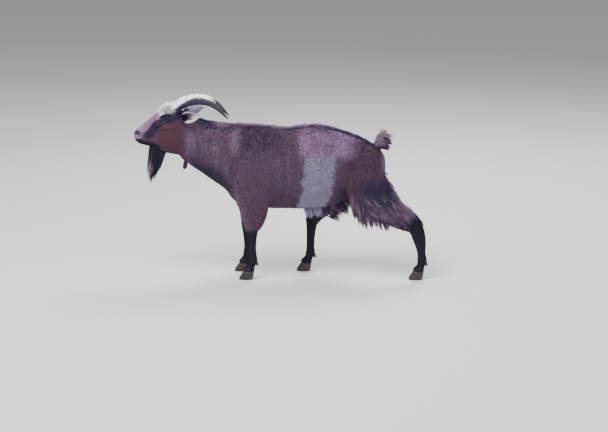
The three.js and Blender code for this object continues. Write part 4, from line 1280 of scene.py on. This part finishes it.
def grow_thigh_feather(surface, random, hair):
    """Thin pale hair that stands off the back of the same thigh."""
    x, y, z = surface.middle.T
    behind = smooth_step(0.3, 0.75, 0.8 * surface.facing[:, 1] + 0.6 * surface.facing[:, 2])
    density = surface.face_value("limb") * behind * (x > 20) * smooth_step(560, 580, y)
    density = density * smooth_step(480, 440, z) * smooth_step(318, 345, z)
    layer = grow(
        surface.with_length(58.0), "thigh_feather", 2.6 * density, random, rise=19.0, width=2.6, rings=4,
        clump=0.6, group=14, fall=0.3, hangs=True, spread=0.2, waves=2.5, way=leaning(0.45, (0, 0.6, -0.75)),
        bleach=0.7,
    )
    parted(layer, "left", hair["guard"], "brown_hair")


def grow_belly_fringe(surface, random, hair):
    """The fringe below the white belt."""
    x, y, z = surface.middle.T
    density = 2.6 * smooth_step(250, 275, y) * smooth_step(385, 360, y) * smooth_step(345, 326, z)
    density = density * (1 - surface.face_value("limb")) * (np.abs(x) < 105)
    layer = grow(
        surface, "belly_fringe", 1.7 * density, random, rise=5.0, width=2.8, rings=5, clump=0.7, group=16,
        fall=1.2, hangs=True, spread=0.2, reach=1.45, waves=2.0, way=leaning(1, (0, 0.5, -1.0)),
    )
    parted(layer, "hair", hair["guard"], "brown_hair")


def grow_crest(surface, random, hair):
    """Longer dark hair that stands a little along the spine."""
    x, y, z = surface.middle.T
    density = 3.0 * smooth_step(26, 10, np.abs(x)) * smooth_step(-230, -190, y)
    density = density * smooth_step(585, 560, y) * (z > 590)
    layer = grow(
        surface, "crest", 1.5 * density, random, rise=12.0, width=2.7, rings=4, clump=0.55, spread=0.3,
        reach=1.1,
    )
    parted(layer, "hair", hair["guard"], "brown_hair")


def grow_beard(surface, random, hair):
    """From under the chin down, drawn to one hanging point; black with a few pale tips."""
    x, y, z = surface.middle.T
    density = 40.0 * smooth_step(-446, -438, y) * smooth_step(-368, -380, y) * (z < 608) * (np.abs(x) < 20)
    places = [-442, -434, -424, -412, -398, -384, -372]
    length = np.interp(surface.points[:, 1], places, [100, 120, 142, 152, 138, 116, 96])
    length = np.where(surface.points[:, 1] < -370, length, surface.fields["length"])

    def forward(root):
        """Down and a little forward, the rear hairs the most, so that the beard narrows."""
        x, y, _ = root["place"].T
        return np.stack([-0.004 * x, -0.17 - 0.0024 * (y + 440), np.full(len(y), -1.0)], axis=1)

    def bleached(root):
        return 1.9 * smooth_step(-404, -424, root["place"][:, 1]) * smooth_step(108, 132, root["length"])

    layer = grow(
        surface.with_length(length), "beard", density, random, rise=2.0, width=2.7, rings=7, clump=0.6,
        group=26, fall=0.1, hangs=True, spread=0.05, waves=3.5, way=forward, sink=3, bleach=bleached,
    )
    layer["root"]["shares"][:, 1] = 1.0  # black
    made = parted(layer, "hair", hair["beard"], "black_hair")
    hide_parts("beard")


def grow_forelock(surface, random, hair):
    """A tousled cream mop on the poll that falls over the brow."""
    x, y, z = surface.middle.T
    density = 28.0 * smooth_step(38, 30, np.abs(x)) * smooth_step(-388, -380, y)
    density = density * smooth_step(-318, -328, y) * (z > 748)

    def tousled(root):
        """Up at the back, forward over the brow at the front, parting to both sides."""
        x, y, _ = root["place"].T
        back = smooth_step(-384, -356, y)
        return np.stack([x / 38, -0.6 + 0.55 * back, 0.1 + 0.9 * back], axis=1)

    layer = grow(
        surface.with_length(29.0), "forelock", density, random, rise=8.0, width=2.8, rings=4, clump=0.55,
        group=14, fall=0.9, hangs=True, spread=0.45, waves=3.0, way=tousled,
    )
    layer["root"]["shares"] = np.tile([1.0, 0, 0, 0, 0, 0], (len(layer["points"]), 1))
    made = parted(layer, "hair", hair["poll"], "cream_hair")
    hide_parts("forelock")


def grow_tail(surface, random, hair):
    """Hair that spreads up and back from the dock, pale in front, dark behind."""
    x, y, z = surface.middle.T
    density = 13.0 * (y > 574) * (z > 592) * (np.abs(x) < 24)

    def spread_out(root):
        """Up and back; hair on the rear face turns down."""
        behind = np.maximum(root["normal"][:, 1:2], 0)
        return np.array([0, 0.4, 0.8]) + root["normal"] * (0.6, 0.5, 0.2) + behind * (0, 1.1, -0.75)

    layer = grow(
        surface.with_length(53.0), "tail", 1.8 * density, random, rise=7.0, width=2.8, rings=5, clump=0.6,
        group=14, fall=0.7, hangs=True, spread=0.2, waves=2.5, way=spread_out,
    )
    facing = layer["root"]["normal"][:, 1]
    front = smooth_step(-0.1, -0.5, facing)
    dark = smooth_step(0.1, 0.7, facing) * 0.7
    beige = 0.22 + 0.5 * smooth_step(0.5, -0.2, facing)
    none = np.zeros(len(facing))
    layer["root"]["shares"] = np.stack([0.15 * front, none, dark, none, 0.4 * front, beige], axis=1)
    made = parted(layer, "hair", hair["guard"], "grey_hair")
    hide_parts("tail")


LONG_HAIR = (
    grow_breeches,
    grow_skirt,
    grow_thigh_feather,
    grow_belly_fringe,
    grow_crest,
    grow_beard,
    grow_forelock,
    grow_tail,
)

# ---------------------------------------------------------------- horns, ears, eyes, wattles and hooves
# Rows of a horn from root to tip: x, y, z, half depth, half width.
HORN_PATH = [
    (21, -336, 742, 23, 19),
    (26, -323, 777, 22.5, 18.5),
    (30, -291, 802, 21.5, 17.5),
    (34, -248, 815, 20.5, 16.5),
    (38, -205, 817, 19, 15),
    (42, -165, 807, 15.6, 12.6),
    (46, -131, 784, 11.2, 9.2),
    (49, -104, 758, 6.8, 5.8),
    (51, -84, 736, 2.6, 2.2),
]
# The painted highlight on a horn: how far along it, and how far round its side it reaches down there.
HORN_BAND = ([0.0, 0.09, 0.16, 0.28, 0.42], [0.4, 0.2, -0.6, -0.45, 0.32])
EAR_LINE = [(42, -289, 741), (92, -266, 752), (131, -203, 765)]  # root, bend and tip
# Rows of an ear from root to tip: half width, half the angle that it curls round, thickness.
EAR_ROWS = [
    (12, 130, 5),
    (16, 124, 4.6),
    (22, 112, 4.2),
    (26, 98, 4),
    (26, 86, 3.8),
    (22, 76, 3.4),
    (14, 66, 3),
    (3, 56, 1.4),
]
WATTLE = [(-276, 548, 4), (-279, 540, 7), (-282, 524, 8.5), (-284, 508, 8.4), (-285, 501, 2)]  # y, z, radius
WATTLE_X = 17
# Rows of a claw from the sole up: height, how far it has sloped back, half length, half width.
CLAW_ROWS = [(0, 0, 30, 12), (1.2, 0.6, 31, 12.8), (5, 1.6, 31, 13), (20, 8, 28, 12.6), (37.6, 15, 23, 11.6)]
CLAW_BEFORE, CLAW_X = 15, 13.6  # a claw's middle before the leg's last row, and beside it
DEWCLAW_LOW, DEWCLAW_X = 12, 12  # a dewclaw's root below the fetlock's row, and beside it
DEWCLAW_IN = 9  # and how deep it starts in the back of the fetlock


def horn_grid(side, ridges, rings=260, sides=36):
    """A horn that arches back, oval with a keel in front, its rings closest and boldest near the root."""
    t = np.linspace(0, 1, rings)
    table = between(HORN_PATH, t)
    middle, deep, wide = table[:, :3], table[:, 3:4], table[:, 4:5]
    path = unit(np.gradient(middle, axis=0))
    across = unit(np.array([1.0, 0, 0]) - path * path[:, :1])
    face = np.cross(across, path)
    angle = np.linspace(0, 2 * np.pi, sides, endpoint=False)[None, :]
    phase = ridges * (t + 0.025 * np.sin(11 * t) + 0.012 * np.sin(29 * t + 1))
    saw = (phase % 1)[:, None] + 0.05 * np.sin(2 * angle + 2.3 * np.floor(phase)[:, None])
    swell = np.exp(-(((saw - 0.45) / 0.25) ** 2)) - 0.55 * np.exp(-(((saw - 0.95) / 0.07) ** 2))
    bold = (0.06 + 0.05 * np.abs(np.sin(1.7 * np.floor(phase) + 0.6)))[:, None]
    bold = bold * smooth_step(0.93, 0.5, t)[:, None]
    front = 0.75 + 0.35 * np.sin(angle)
    lines = 0.008 * np.sin(2 * np.pi * 64 * t)[:, None] * smooth_step(1, 0.8, t)[:, None]
    wave = 1 + bold * (swell - 0.6) * front + lines
    keel = 1 + 0.08 * np.exp(-(((angle - np.pi / 2) / 0.45) ** 2)) * smooth_step(1, 0.7, t)[:, None]
    ring = (
        middle[:, None]
        + across[:, None] * (wide * wave * np.cos(angle))[..., None]
        + face[:, None] * (deep * wave * keel * 0.97 * np.sin(angle))[..., None]
    )
    # Painted light: the highlight lies above and inside, the shade below.
    over = np.sin(angle) - 0.42 * np.cos(angle) + 0 * t[:, None]  # paler above and inside
    groove = np.exp(-(((saw - 0.95) / 0.08) ** 2)) * smooth_step(0.95, 0.6, t)[:, None]
    marks = np.stack([over, np.repeat(t[:, None], sides, 1), groove], axis=-1)
    return ring * (side, 1, 1), marks


def ear_grid(side, rings=44, arc_points=15):
    """A leaf rolled into a cup, nearly a tube at its root, with a crimped edge."""
    root, bend, tip = (np.array(p, float) for p in EAR_LINE)
    opening = np.array([0.8, -0.48, -0.12])
    rows = between(EAR_ROWS, np.linspace(0, 1, rings))
    made, inner, edge = [], [], []
    for t, (half, degrees, wall) in zip(np.linspace(0, 1, rings), rows):
        centre = (1 - t) ** 2 * root + 2 * t * (1 - t) * bend + t * t * tip
        ahead = unit(2 * (1 - t) * (bend - root) + 2 * t * (tip - bend))
        mouth = unit(opening - ahead * (opening @ ahead))
        wide = np.cross(ahead, mouth)
        turn = math.radians(degrees)
        radius = half / math.sin(turn) if degrees < 90 else half
        centre = centre + mouth * radius * (1 + math.cos(turn)) / 2
        arc = np.linspace(-turn, turn, arc_points)
        depth = min(wall * 0.7, radius * 0.35)
        crimp = 0.7 * np.sin(arc * 3 + 9 * t) * np.abs(arc / turn)
        outside = [centre + wide * (radius - 0.8) * math.sin(a) - mouth * (radius - 0.8 + c) * math.cos(a)
                   for a, c in zip(arc, crimp)]
        low = radius - 0.8 - depth
        inside = [centre + wide * low * math.sin(a * 0.97) - mouth * (low + c) * math.cos(a * 0.97)
                  for a, c in zip(arc[::-1], crimp[::-1])]
        made.append(np.array(outside + inside))
        inner.append(np.array([0.0] * arc_points + [1.0] * arc_points))
        edge.append(np.maximum(np.abs(np.concatenate([arc, arc[::-1]]) / turn), smooth_step(0.8, 1, t)))
    return np.array(made) * (side, 1, 1), np.array(inner), np.array(edge)


def wattle_grid(side):
    """A short tassel of skin that hangs from the throat."""
    a = np.linspace(0, 2 * np.pi, 20, endpoint=False)
    rings = []
    for y, z, r in between(WATTLE, np.linspace(0, 1, 24)):
        x = side * WATTLE_X + r * 0.85 * np.cos(a)
        rings.append(np.stack([x, y + r * np.sin(a), np.full(20, z)], axis=-1))
    return np.array(rings)


def claw_grid(x, y, inner, rings=22, sides=40):
    """One claw of a cloven hoof: flat sole, sloping front wall with growth rings, rounded heel."""
    t = np.linspace(0, 1, rings) ** 1.3
    z, back, deep, wide = (row[:, None] for row in between(CLAW_ROWS, t).T)
    z[0] = 0
    z = np.maximum(z, 0)
    a = np.linspace(0, 2 * np.pi, sides, endpoint=False)[None, :]
    toe = np.maximum(0, np.cos(a))
    flat = np.where(np.sin(a) * inner < 0, 0.82, 1)
    lines = 1 + 0.012 * np.sin(z * 1.6) * smooth_step(0, 4, z)
    across = np.sin(a) * wide * flat * (1 - 0.38 * toe**2) * lines
    return np.stack([x + across, y + back - np.cos(a) * deep * lines, z + 0 * a], axis=-1)


def dewclaw_grid(x, y, z, side, rings=12, sides=20):
    """A dewclaw: a blunt cone that points down and back."""
    start, end = np.array([x, y, z]), np.array([x + side * 2, y + 9, z - 12])
    ahead = unit(end - start)
    across = np.array([1.0, 0, 0])
    up = unit(np.cross(ahead, across))
    a = np.linspace(0, 2 * np.pi, sides, endpoint=False)
    made = []
    for t in np.linspace(0, 1, rings):
        r = np.interp(t, [0, 0.6, 0.9, 1], [6.8, 6.1, 4.4, 2.2])
        centre = start + (end - start) * t
        made.append(centre + np.outer(0.85 * r * np.cos(a), across) + np.outer(r * np.sin(a), up))
    return np.array(made)


def eye_grid(side):
    """An eyeball with a bulging cornea, and its pupil and iris as marks."""
    centre, look, length, height = eye_frame(side)
    a = np.concatenate([np.linspace(0.004, 0.9, 60), np.linspace(0.93, 3.13, 24)])[:, None]
    b = np.linspace(0, 2 * np.pi, 72, endpoint=False)[None, :]
    reach = (EYE["radius"] * (1 + 0.05 * smooth_step(0.72, 0.2, a)))[..., None]
    flat = (np.sin(a) * np.cos(b))[..., None] * length + (np.sin(a) * np.sin(b))[..., None] * height
    grid = centre + reach * (flat + np.cos(a + 0 * b)[..., None] * look)
    # The pupil is a slot with round ends, level when the goat holds its head like this.
    across, up = (grid - centre) @ unit(np.array([0, 1.0, 0.18])), (grid - centre) @ np.array([0, 0, 1.0])
    from_slot = np.sqrt(np.maximum(np.abs(across) - EYE["slot"], 0) ** 2 + up**2)
    pupil = smooth_step(1.9, 1.5, from_slot)
    iris = smooth_step(0.74, 0.69, a + 0 * b)
    return grid, np.stack([pupil, iris, 0 * pupil], axis=-1)


def plain_piece(name, grid, material, node, marks=None):
    """A closed piece from rings, with its paint, riding on the body in place of its solid."""
    points, faces = grid_mesh(grid)
    obj = object_from(name, points, faces)
    outward(obj)
    if marks is not None:
        ends = np.stack([marks[0].mean(axis=0), marks[-1].mean(axis=0)])
        flat = np.concatenate([marks.reshape(-1, 3), ends])
        paint(obj.data, "marks", np.concatenate([flat, np.ones((len(flat), 1))], axis=1))
    unwrap(obj)
    obj.data.materials.append(material)
    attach(obj, "root")
    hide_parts(node)
    return obj


def ear_fields(obj, side, inner, edge):
    """Lie, length and colours of an ear's hair."""
    points = from_frame(coordinates(obj.data))
    # The last two points close the two ends.
    inside = np.concatenate([inner.reshape(-1), [0.5, 0.5]])
    rim = smooth_step(0.3, 0.95, np.concatenate([edge.reshape(-1), [0.5, 1]]))
    root, _, tip = (np.array(p, float) * (side, 1, 1) for p in EAR_LINE)
    chord = tip - root
    along = np.clip((points - root) @ chord / (chord @ chord), 0, 1)
    low = smooth_step(3, -9, (points - root - along[:, None] * chord)[:, 2] - 8)
    # Pink-grey hair inside, painted shade that runs out of the hollow and over the root below the horn, white
    # hair below and behind.
    hollow_shade = 0.75 * inside * smooth_step(0.45, 0.12, rim) * smooth_step(0.62, 0.36, along)
    # Painted shade at the ear's root, under the horn.
    base = smooth_step(0.32, 0.16, along)
    white = (0.35 * (1 - inside) + inside * (0.3 + 0.7 * low)) * (1 - hollow_shade) * (1 - base)
    dark = np.maximum(hollow_shade, 0.95 * base)
    pale, beige = 0.8 - 0.3 * (1 - inside), 0.2 * (1 - inside)
    shares = np.clip(np.stack([white, 0.2 * hollow_shade, dark, 0 * inside, pale, beige], axis=1), 0, 1)
    way = unit(np.array([side * 0.45, 0.8, 0.15]) + 0.9 * rim[:, None] * normals_of(obj.data))
    return {"way": way, "length": 7.0 + 6.0 * rim, "shares": shares, "inside": inside}


def wattle_fields(obj):
    """Lie, length and colours of a wattle's hair: short, dark and straight down."""
    count = len(obj.data.vertices)
    shares = np.tile([0, 0.3, 0.7, 0, 0, 0], (count, 1))
    return {
        "way": np.tile(DOWN, (count, 1)), "length": np.full(count, 7.0), "shares": shares,
        "inside": np.zeros(count),
    }


def short_hair(obj, fields, name, label, hair, random):
    """Paints an ear or a wattle and covers it with short tufts."""
    half = np.full(len(obj.data.vertices), 0.5)
    paint_coat(obj.data, fields["shares"], half, half)
    surface = Surface(obj, fields)
    cover = np.where(surface.face_value("inside") > 0.9, 14.0, 20.0)  # thinner in the hollow
    layer = grow(surface, name, cover, random, rise=1.6, width=3.0, clump=0.2)
    parted(layer, label, hair, "ear_skin")


# ---------------------------------------------------------------- operators
class GOAT_OT_skin(bpy.types.Operator):
    """Fuses and sculpts the goat's skin, paints its markings and stands it for every node of flesh"""

    bl_idname = "goat.skin"
    bl_label = "Skin"

    def execute(self, context):
        scene = context.scene
        skin, forms = body_skin(scene.goat_shape)
        unwrap(skin)
        fields = coat_fields(skin, forms)
        # Under the tufts the skin is seen as hair nearly halfway along, with part of the painted shade
        # towards the roots.
        half = np.full(len(skin.data.vertices), 0.45)
        paint_coat(skin.data, fields["shares"], half, half)
        paint(skin.data, "bare", np.repeat(fields["bare"][:, None], 4, axis=1))
        skin.data.materials.append(skin_material("short_hair_on_hide", scene.goat_colours))
        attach(skin, "root")
        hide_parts(*FLESH_NODES)
        SURFACES["skin"] = Surface(skin, fields)
        return {"FINISHED"}


class GOAT_OT_coat(bpy.types.Operator):
    """Covers the skin with short and middling tufts that lie along the body"""

    bl_idname = "goat.coat"
    bl_label = "Coat"

    def execute(self, context):
        if "skin" not in SURFACES:
            raise RuntimeError("make the skin before its coat")
        coat, surface = context.scene.goat_coat, SURFACES["skin"]
        hair = hair_material("goat_guard_hair", context.scene.goat_colours)
        random = np.random.default_rng(SEEDS["coat"])
        _, y, z = surface.middle.T
        lips = np.exp(-(((z - mouth_height(y)) / 2.0) ** 2)) * (y < -405)
        short = smooth_step(21, 15, surface.face_value("length"))
        # No tufts on the bare nose, the lips, the eyeballs or the claws.
        open_skin = (1 - smooth_step(0.1, 0.5, surface.face_value("bare"))) * (lips < 0.4)
        open_skin = open_skin * (eye_distance(surface.middle) > 18.5) * (z > 37)
        face = smooth_step(-290, -320, y)
        density = short * open_skin * (face * coat.face_tufts + (1 - face) * coat.leg_tufts)
        layer = grow(surface, "short_coat", density, random, rise=1.4, width=2.6, clump=0.25, spread=0.16)
        parted(layer, zone_of(layer["root"]["place"]), hair, "brown_hair")
        density = (1 - short) * open_skin * coat.body_tufts
        layer = grow(
            surface, "coat", density, random, rise=5.5, width=coat.tuft_width / MM,
            clump=coat.clump, group=10, spread=0.11, bleach=0.2,
        )
        parted(layer, zone_of(layer["root"]["place"]), hair, "brown_hair")
        return {"FINISHED"}


class GOAT_OT_long_hair(bpy.types.Operator):
    """Grows the long hair: breeches, belly fringe, crest of the back, beard, forelock and tail"""

    bl_idname = "goat.long_hair"
    bl_label = "Long hair"

    def execute(self, context):
        if "skin" not in SURFACES or "goat_guard_hair" not in bpy.data.materials:
            raise RuntimeError("make the skin and its coat before the long hair")
        colours = context.scene.goat_colours
        hair = {
            "guard": bpy.data.materials["goat_guard_hair"],
            "beard": hair_material("goat_beard_hair", colours),
            "poll": hair_material("goat_poll_hair", colours, light=tuple(colours.cream)),
        }
        random = np.random.default_rng(SEEDS["long_hair"])
        for grow_group in LONG_HAIR:
            grow_group(SURFACES["skin"], random, hair)
        return {"FINISHED"}


class GOAT_OT_horns(bpy.types.Operator):
    """Makes the two ringed horns"""

    bl_idname = "goat.horns"
    bl_label = "Horns"

    def execute(self, context):
        keratin = horn_material()
        for side, label in SIDES.items():
            grid, marks = horn_grid(side, context.scene.goat_shape.horn_ridges)
            over, along, groove = marks[..., 0], marks[..., 1], marks[..., 2]
            # The painted highlight starts a little above the root, covers most of the side there and narrows
            # on.
            low = np.interp(along, *HORN_BAND)
            pale = smooth_step(low, low + 0.55, over) * smooth_step(0.74, 0.56, along)
            dark_tip = smooth_step(0.58, 0.78, along)
            paint_marks = np.stack([pale, dark_tip, 0.7 * groove], axis=-1)
            plain_piece(f"horn_{label}_shown", grid, keratin, f"horn_{label}", paint_marks)
        return {"FINISHED"}


class GOAT_OT_ears(bpy.types.Operator):
    """Makes the ears and wattles with their short hair"""

    bl_idname = "goat.ears"
    bl_label = "Ears and wattles"

    def execute(self, context):
        colours = context.scene.goat_colours
        cream = tuple(colours.cream)
        hide = skin_material("short_hair_on_ear", colours, light=cream)
        hair = hair_material("goat_ear_hair", colours, light=cream)
        random = np.random.default_rng(SEEDS["ears"])
        for side, label in SIDES.items():
            grid, inner, edge = ear_grid(side)
            ear = plain_piece(f"ear_{label}_shown", grid, hide, f"ear_{label}")
            short_hair(ear, ear_fields(ear, side, inner, edge), "ear_hair", label, hair, random)
            wattle = plain_piece(
                f"wattle_{label}_shown", wattle_grid(side), hide, f"wattle_{label}"
            )
            short_hair(wattle, wattle_fields(wattle), "wattle_hair", label, hair, random)
        return {"FINISHED"}


class GOAT_OT_eyes(bpy.types.Operator):
    """Makes the eyeballs with level, slotted pupils"""

    bl_idname = "goat.eyes"
    bl_label = "Eyes"

    def execute(self, context):
        wet = eye_material()
        for side, label in SIDES.items():
            grid, marks = eye_grid(side)
            plain_piece(f"eye_{label}_shown", grid, wet, f"eye_{label}", marks)
        return {"FINISHED"}


class GOAT_OT_hooves(bpy.types.Operator):
    """Makes the cloven hooves and the dewclaws"""

    bl_idname = "goat.hooves"
    bl_label = "Hooves"

    def execute(self, context):
        keratin = hoof_material()
        for side, label in SIDES.items():
            for place, rows in (("fore", fore_leg_rows(side)), ("hind", HIND_LEGS[side])):
                foot_x, foot_y = rows[CLAW_ROW][:2]
                _, y, z, deep = rows[FETLOCK_ROW][:4]
                for name, inner in (("inner", -1), ("outer", 1)):
                    claw_x, dewclaw_x = side * (foot_x + inner * CLAW_X), side * (foot_x + inner * DEWCLAW_X)
                    claw = claw_grid(claw_x, foot_y - CLAW_BEFORE, side * inner)
                    dewclaw = dewclaw_grid(dewclaw_x, y + deep - DEWCLAW_IN, z - DEWCLAW_LOW, side * inner)
                    for kind, grid in (("hoof", claw), ("dewclaw", dewclaw)):
                        node = f"{kind}_{place}_{label}_{name}"
                        plain_piece(node + "_shown", grid, keratin, node)
        return {"FINISHED"}


class GOAT_OT_stage(bpy.types.Operator):
    """Sets the plain floor, the soft lights and the camera"""

    bl_idname = "goat.stage"
    bl_label = "Stage"

    def execute(self, context):
        scene, stage = context.scene, context.scene.goat_stage
        mesh = bpy.data.meshes.new("floor")
        reach = 40
        corners = [(-reach, -reach, 0), (reach, -reach, 0), (reach, reach, 0), (-reach, reach, 0)]
        mesh.from_pydata(corners, [], [(0, 1, 2, 3)])
        floor = bpy.data.objects.new("floor", mesh)
        scene.collection.objects.link(floor)
        # A matt painted floor takes soft shadows and shows no gloss.
        material, tree, shader = new_material("matt_pale_floor")
        fill(tree, shader, {"Base Color": opaque(stage.floor), "Roughness": 0.9})
        mesh.materials.append(material)

        world = bpy.data.worlds.new("soft_room")
        world.use_nodes = True
        sky = world.node_tree.nodes["Background"]
        fill(world.node_tree, sky, {"Color": opaque(linear("#dfe2ea")), "Strength": 0.55})
        scene.world = world
        # Soft square lights round the goat: name, place, size, power and tint.
        lights = (
            ("key", (2.3, -1.6, 4.6), 2.6, stage.key_power, "#fff8ee"),
            ("fill", (4.2, 3.0, 1.8), 3.2, stage.key_power * 0.22, "#e4ebff"),
            ("back", (-2.8, 1.2, 4.2), 2.2, stage.key_power * 0.7, "#f4f1ff"),
        )
        middle = Vector((0, 0, 0.42))
        for name, place, size, power, tint in lights:
            light = bpy.data.lights.new(name, "AREA")
            light.energy, light.size, light.color = power, size, linear(tint)
            obj = bpy.data.objects.new(name, light)
            obj.location = place
            obj.rotation_mode = "QUATERNION"
            obj.rotation_quaternion = (middle - Vector(place)).to_track_quat("-Z", "Y")
            scene.collection.objects.link(obj)

        # The goat's left side, seen a little from above, with room all round it.
        target, distance, rise = Vector((0, 0.1035, 0.277)), 9.0, math.radians(12)
        width_seen = 2.797
        lens = bpy.data.cameras.new("camera")
        lens.sensor_width = 36
        lens.lens = 36 * distance / width_seen
        camera = bpy.data.objects.new("camera", lens)
        back = Vector((math.cos(rise), 0, math.sin(rise)))
        camera.location = target + back * distance
        camera.rotation_mode = "QUATERNION"
        camera.rotation_quaternion = (-back).to_track_quat("-Z", "Y")
        scene.collection.objects.link(camera)
        scene.camera = camera
        return {"FINISHED"}


class GOAT_PT_panel(bpy.types.Panel):
    """The goat's pieces and their settings"""

    bl_idname = "GOAT_PT_panel"
    bl_label = "Goat"
    bl_space_type = "VIEW_3D"
    bl_region_type = "UI"
    bl_category = "Goat"

    def draw(self, context):
        scene, layout = context.scene, self.layout
        for group in (scene.goat_shape, scene.goat_coat, scene.goat_colours, scene.goat_stage):
            box = layout.box()
            for name in group.__annotations__:
                box.prop(group, name)
        for operator in OPERATORS:
            layout.operator(operator.bl_idname)


GROUPS = {
    "goat_shape": GoatShape,
    "goat_coat": GoatCoat,
    "goat_colours": GoatColours,
    "goat_stage": GoatStage,
}
OPERATORS = (
    GOAT_OT_skin,
    GOAT_OT_coat,
    GOAT_OT_long_hair,
    GOAT_OT_horns,
    GOAT_OT_ears,
    GOAT_OT_eyes,
    GOAT_OT_hooves,
    GOAT_OT_stage,
)


def register():
    for cls in (*GROUPS.values(), *OPERATORS, GOAT_PT_panel):
        bpy.utils.register_class(cls)
    for name, cls in GROUPS.items():
        setattr(bpy.types.Scene, name, PointerProperty(type=cls))


def unregister():
    for name in GROUPS:
        delattr(bpy.types.Scene, name)
    for cls in (GOAT_PT_panel, *reversed(OPERATORS), *reversed(GROUPS.values())):
        bpy.utils.unregister_class(cls)


def main():
    register()
    bpy.ops.goat.skin()
    bpy.ops.goat.coat()
    bpy.ops.goat.long_hair()
    bpy.ops.goat.horns()
    bpy.ops.goat.ears()
    bpy.ops.goat.eyes()
    bpy.ops.goat.hooves()
    bpy.ops.goat.stage()


if __name__ == "__main__":
    main()
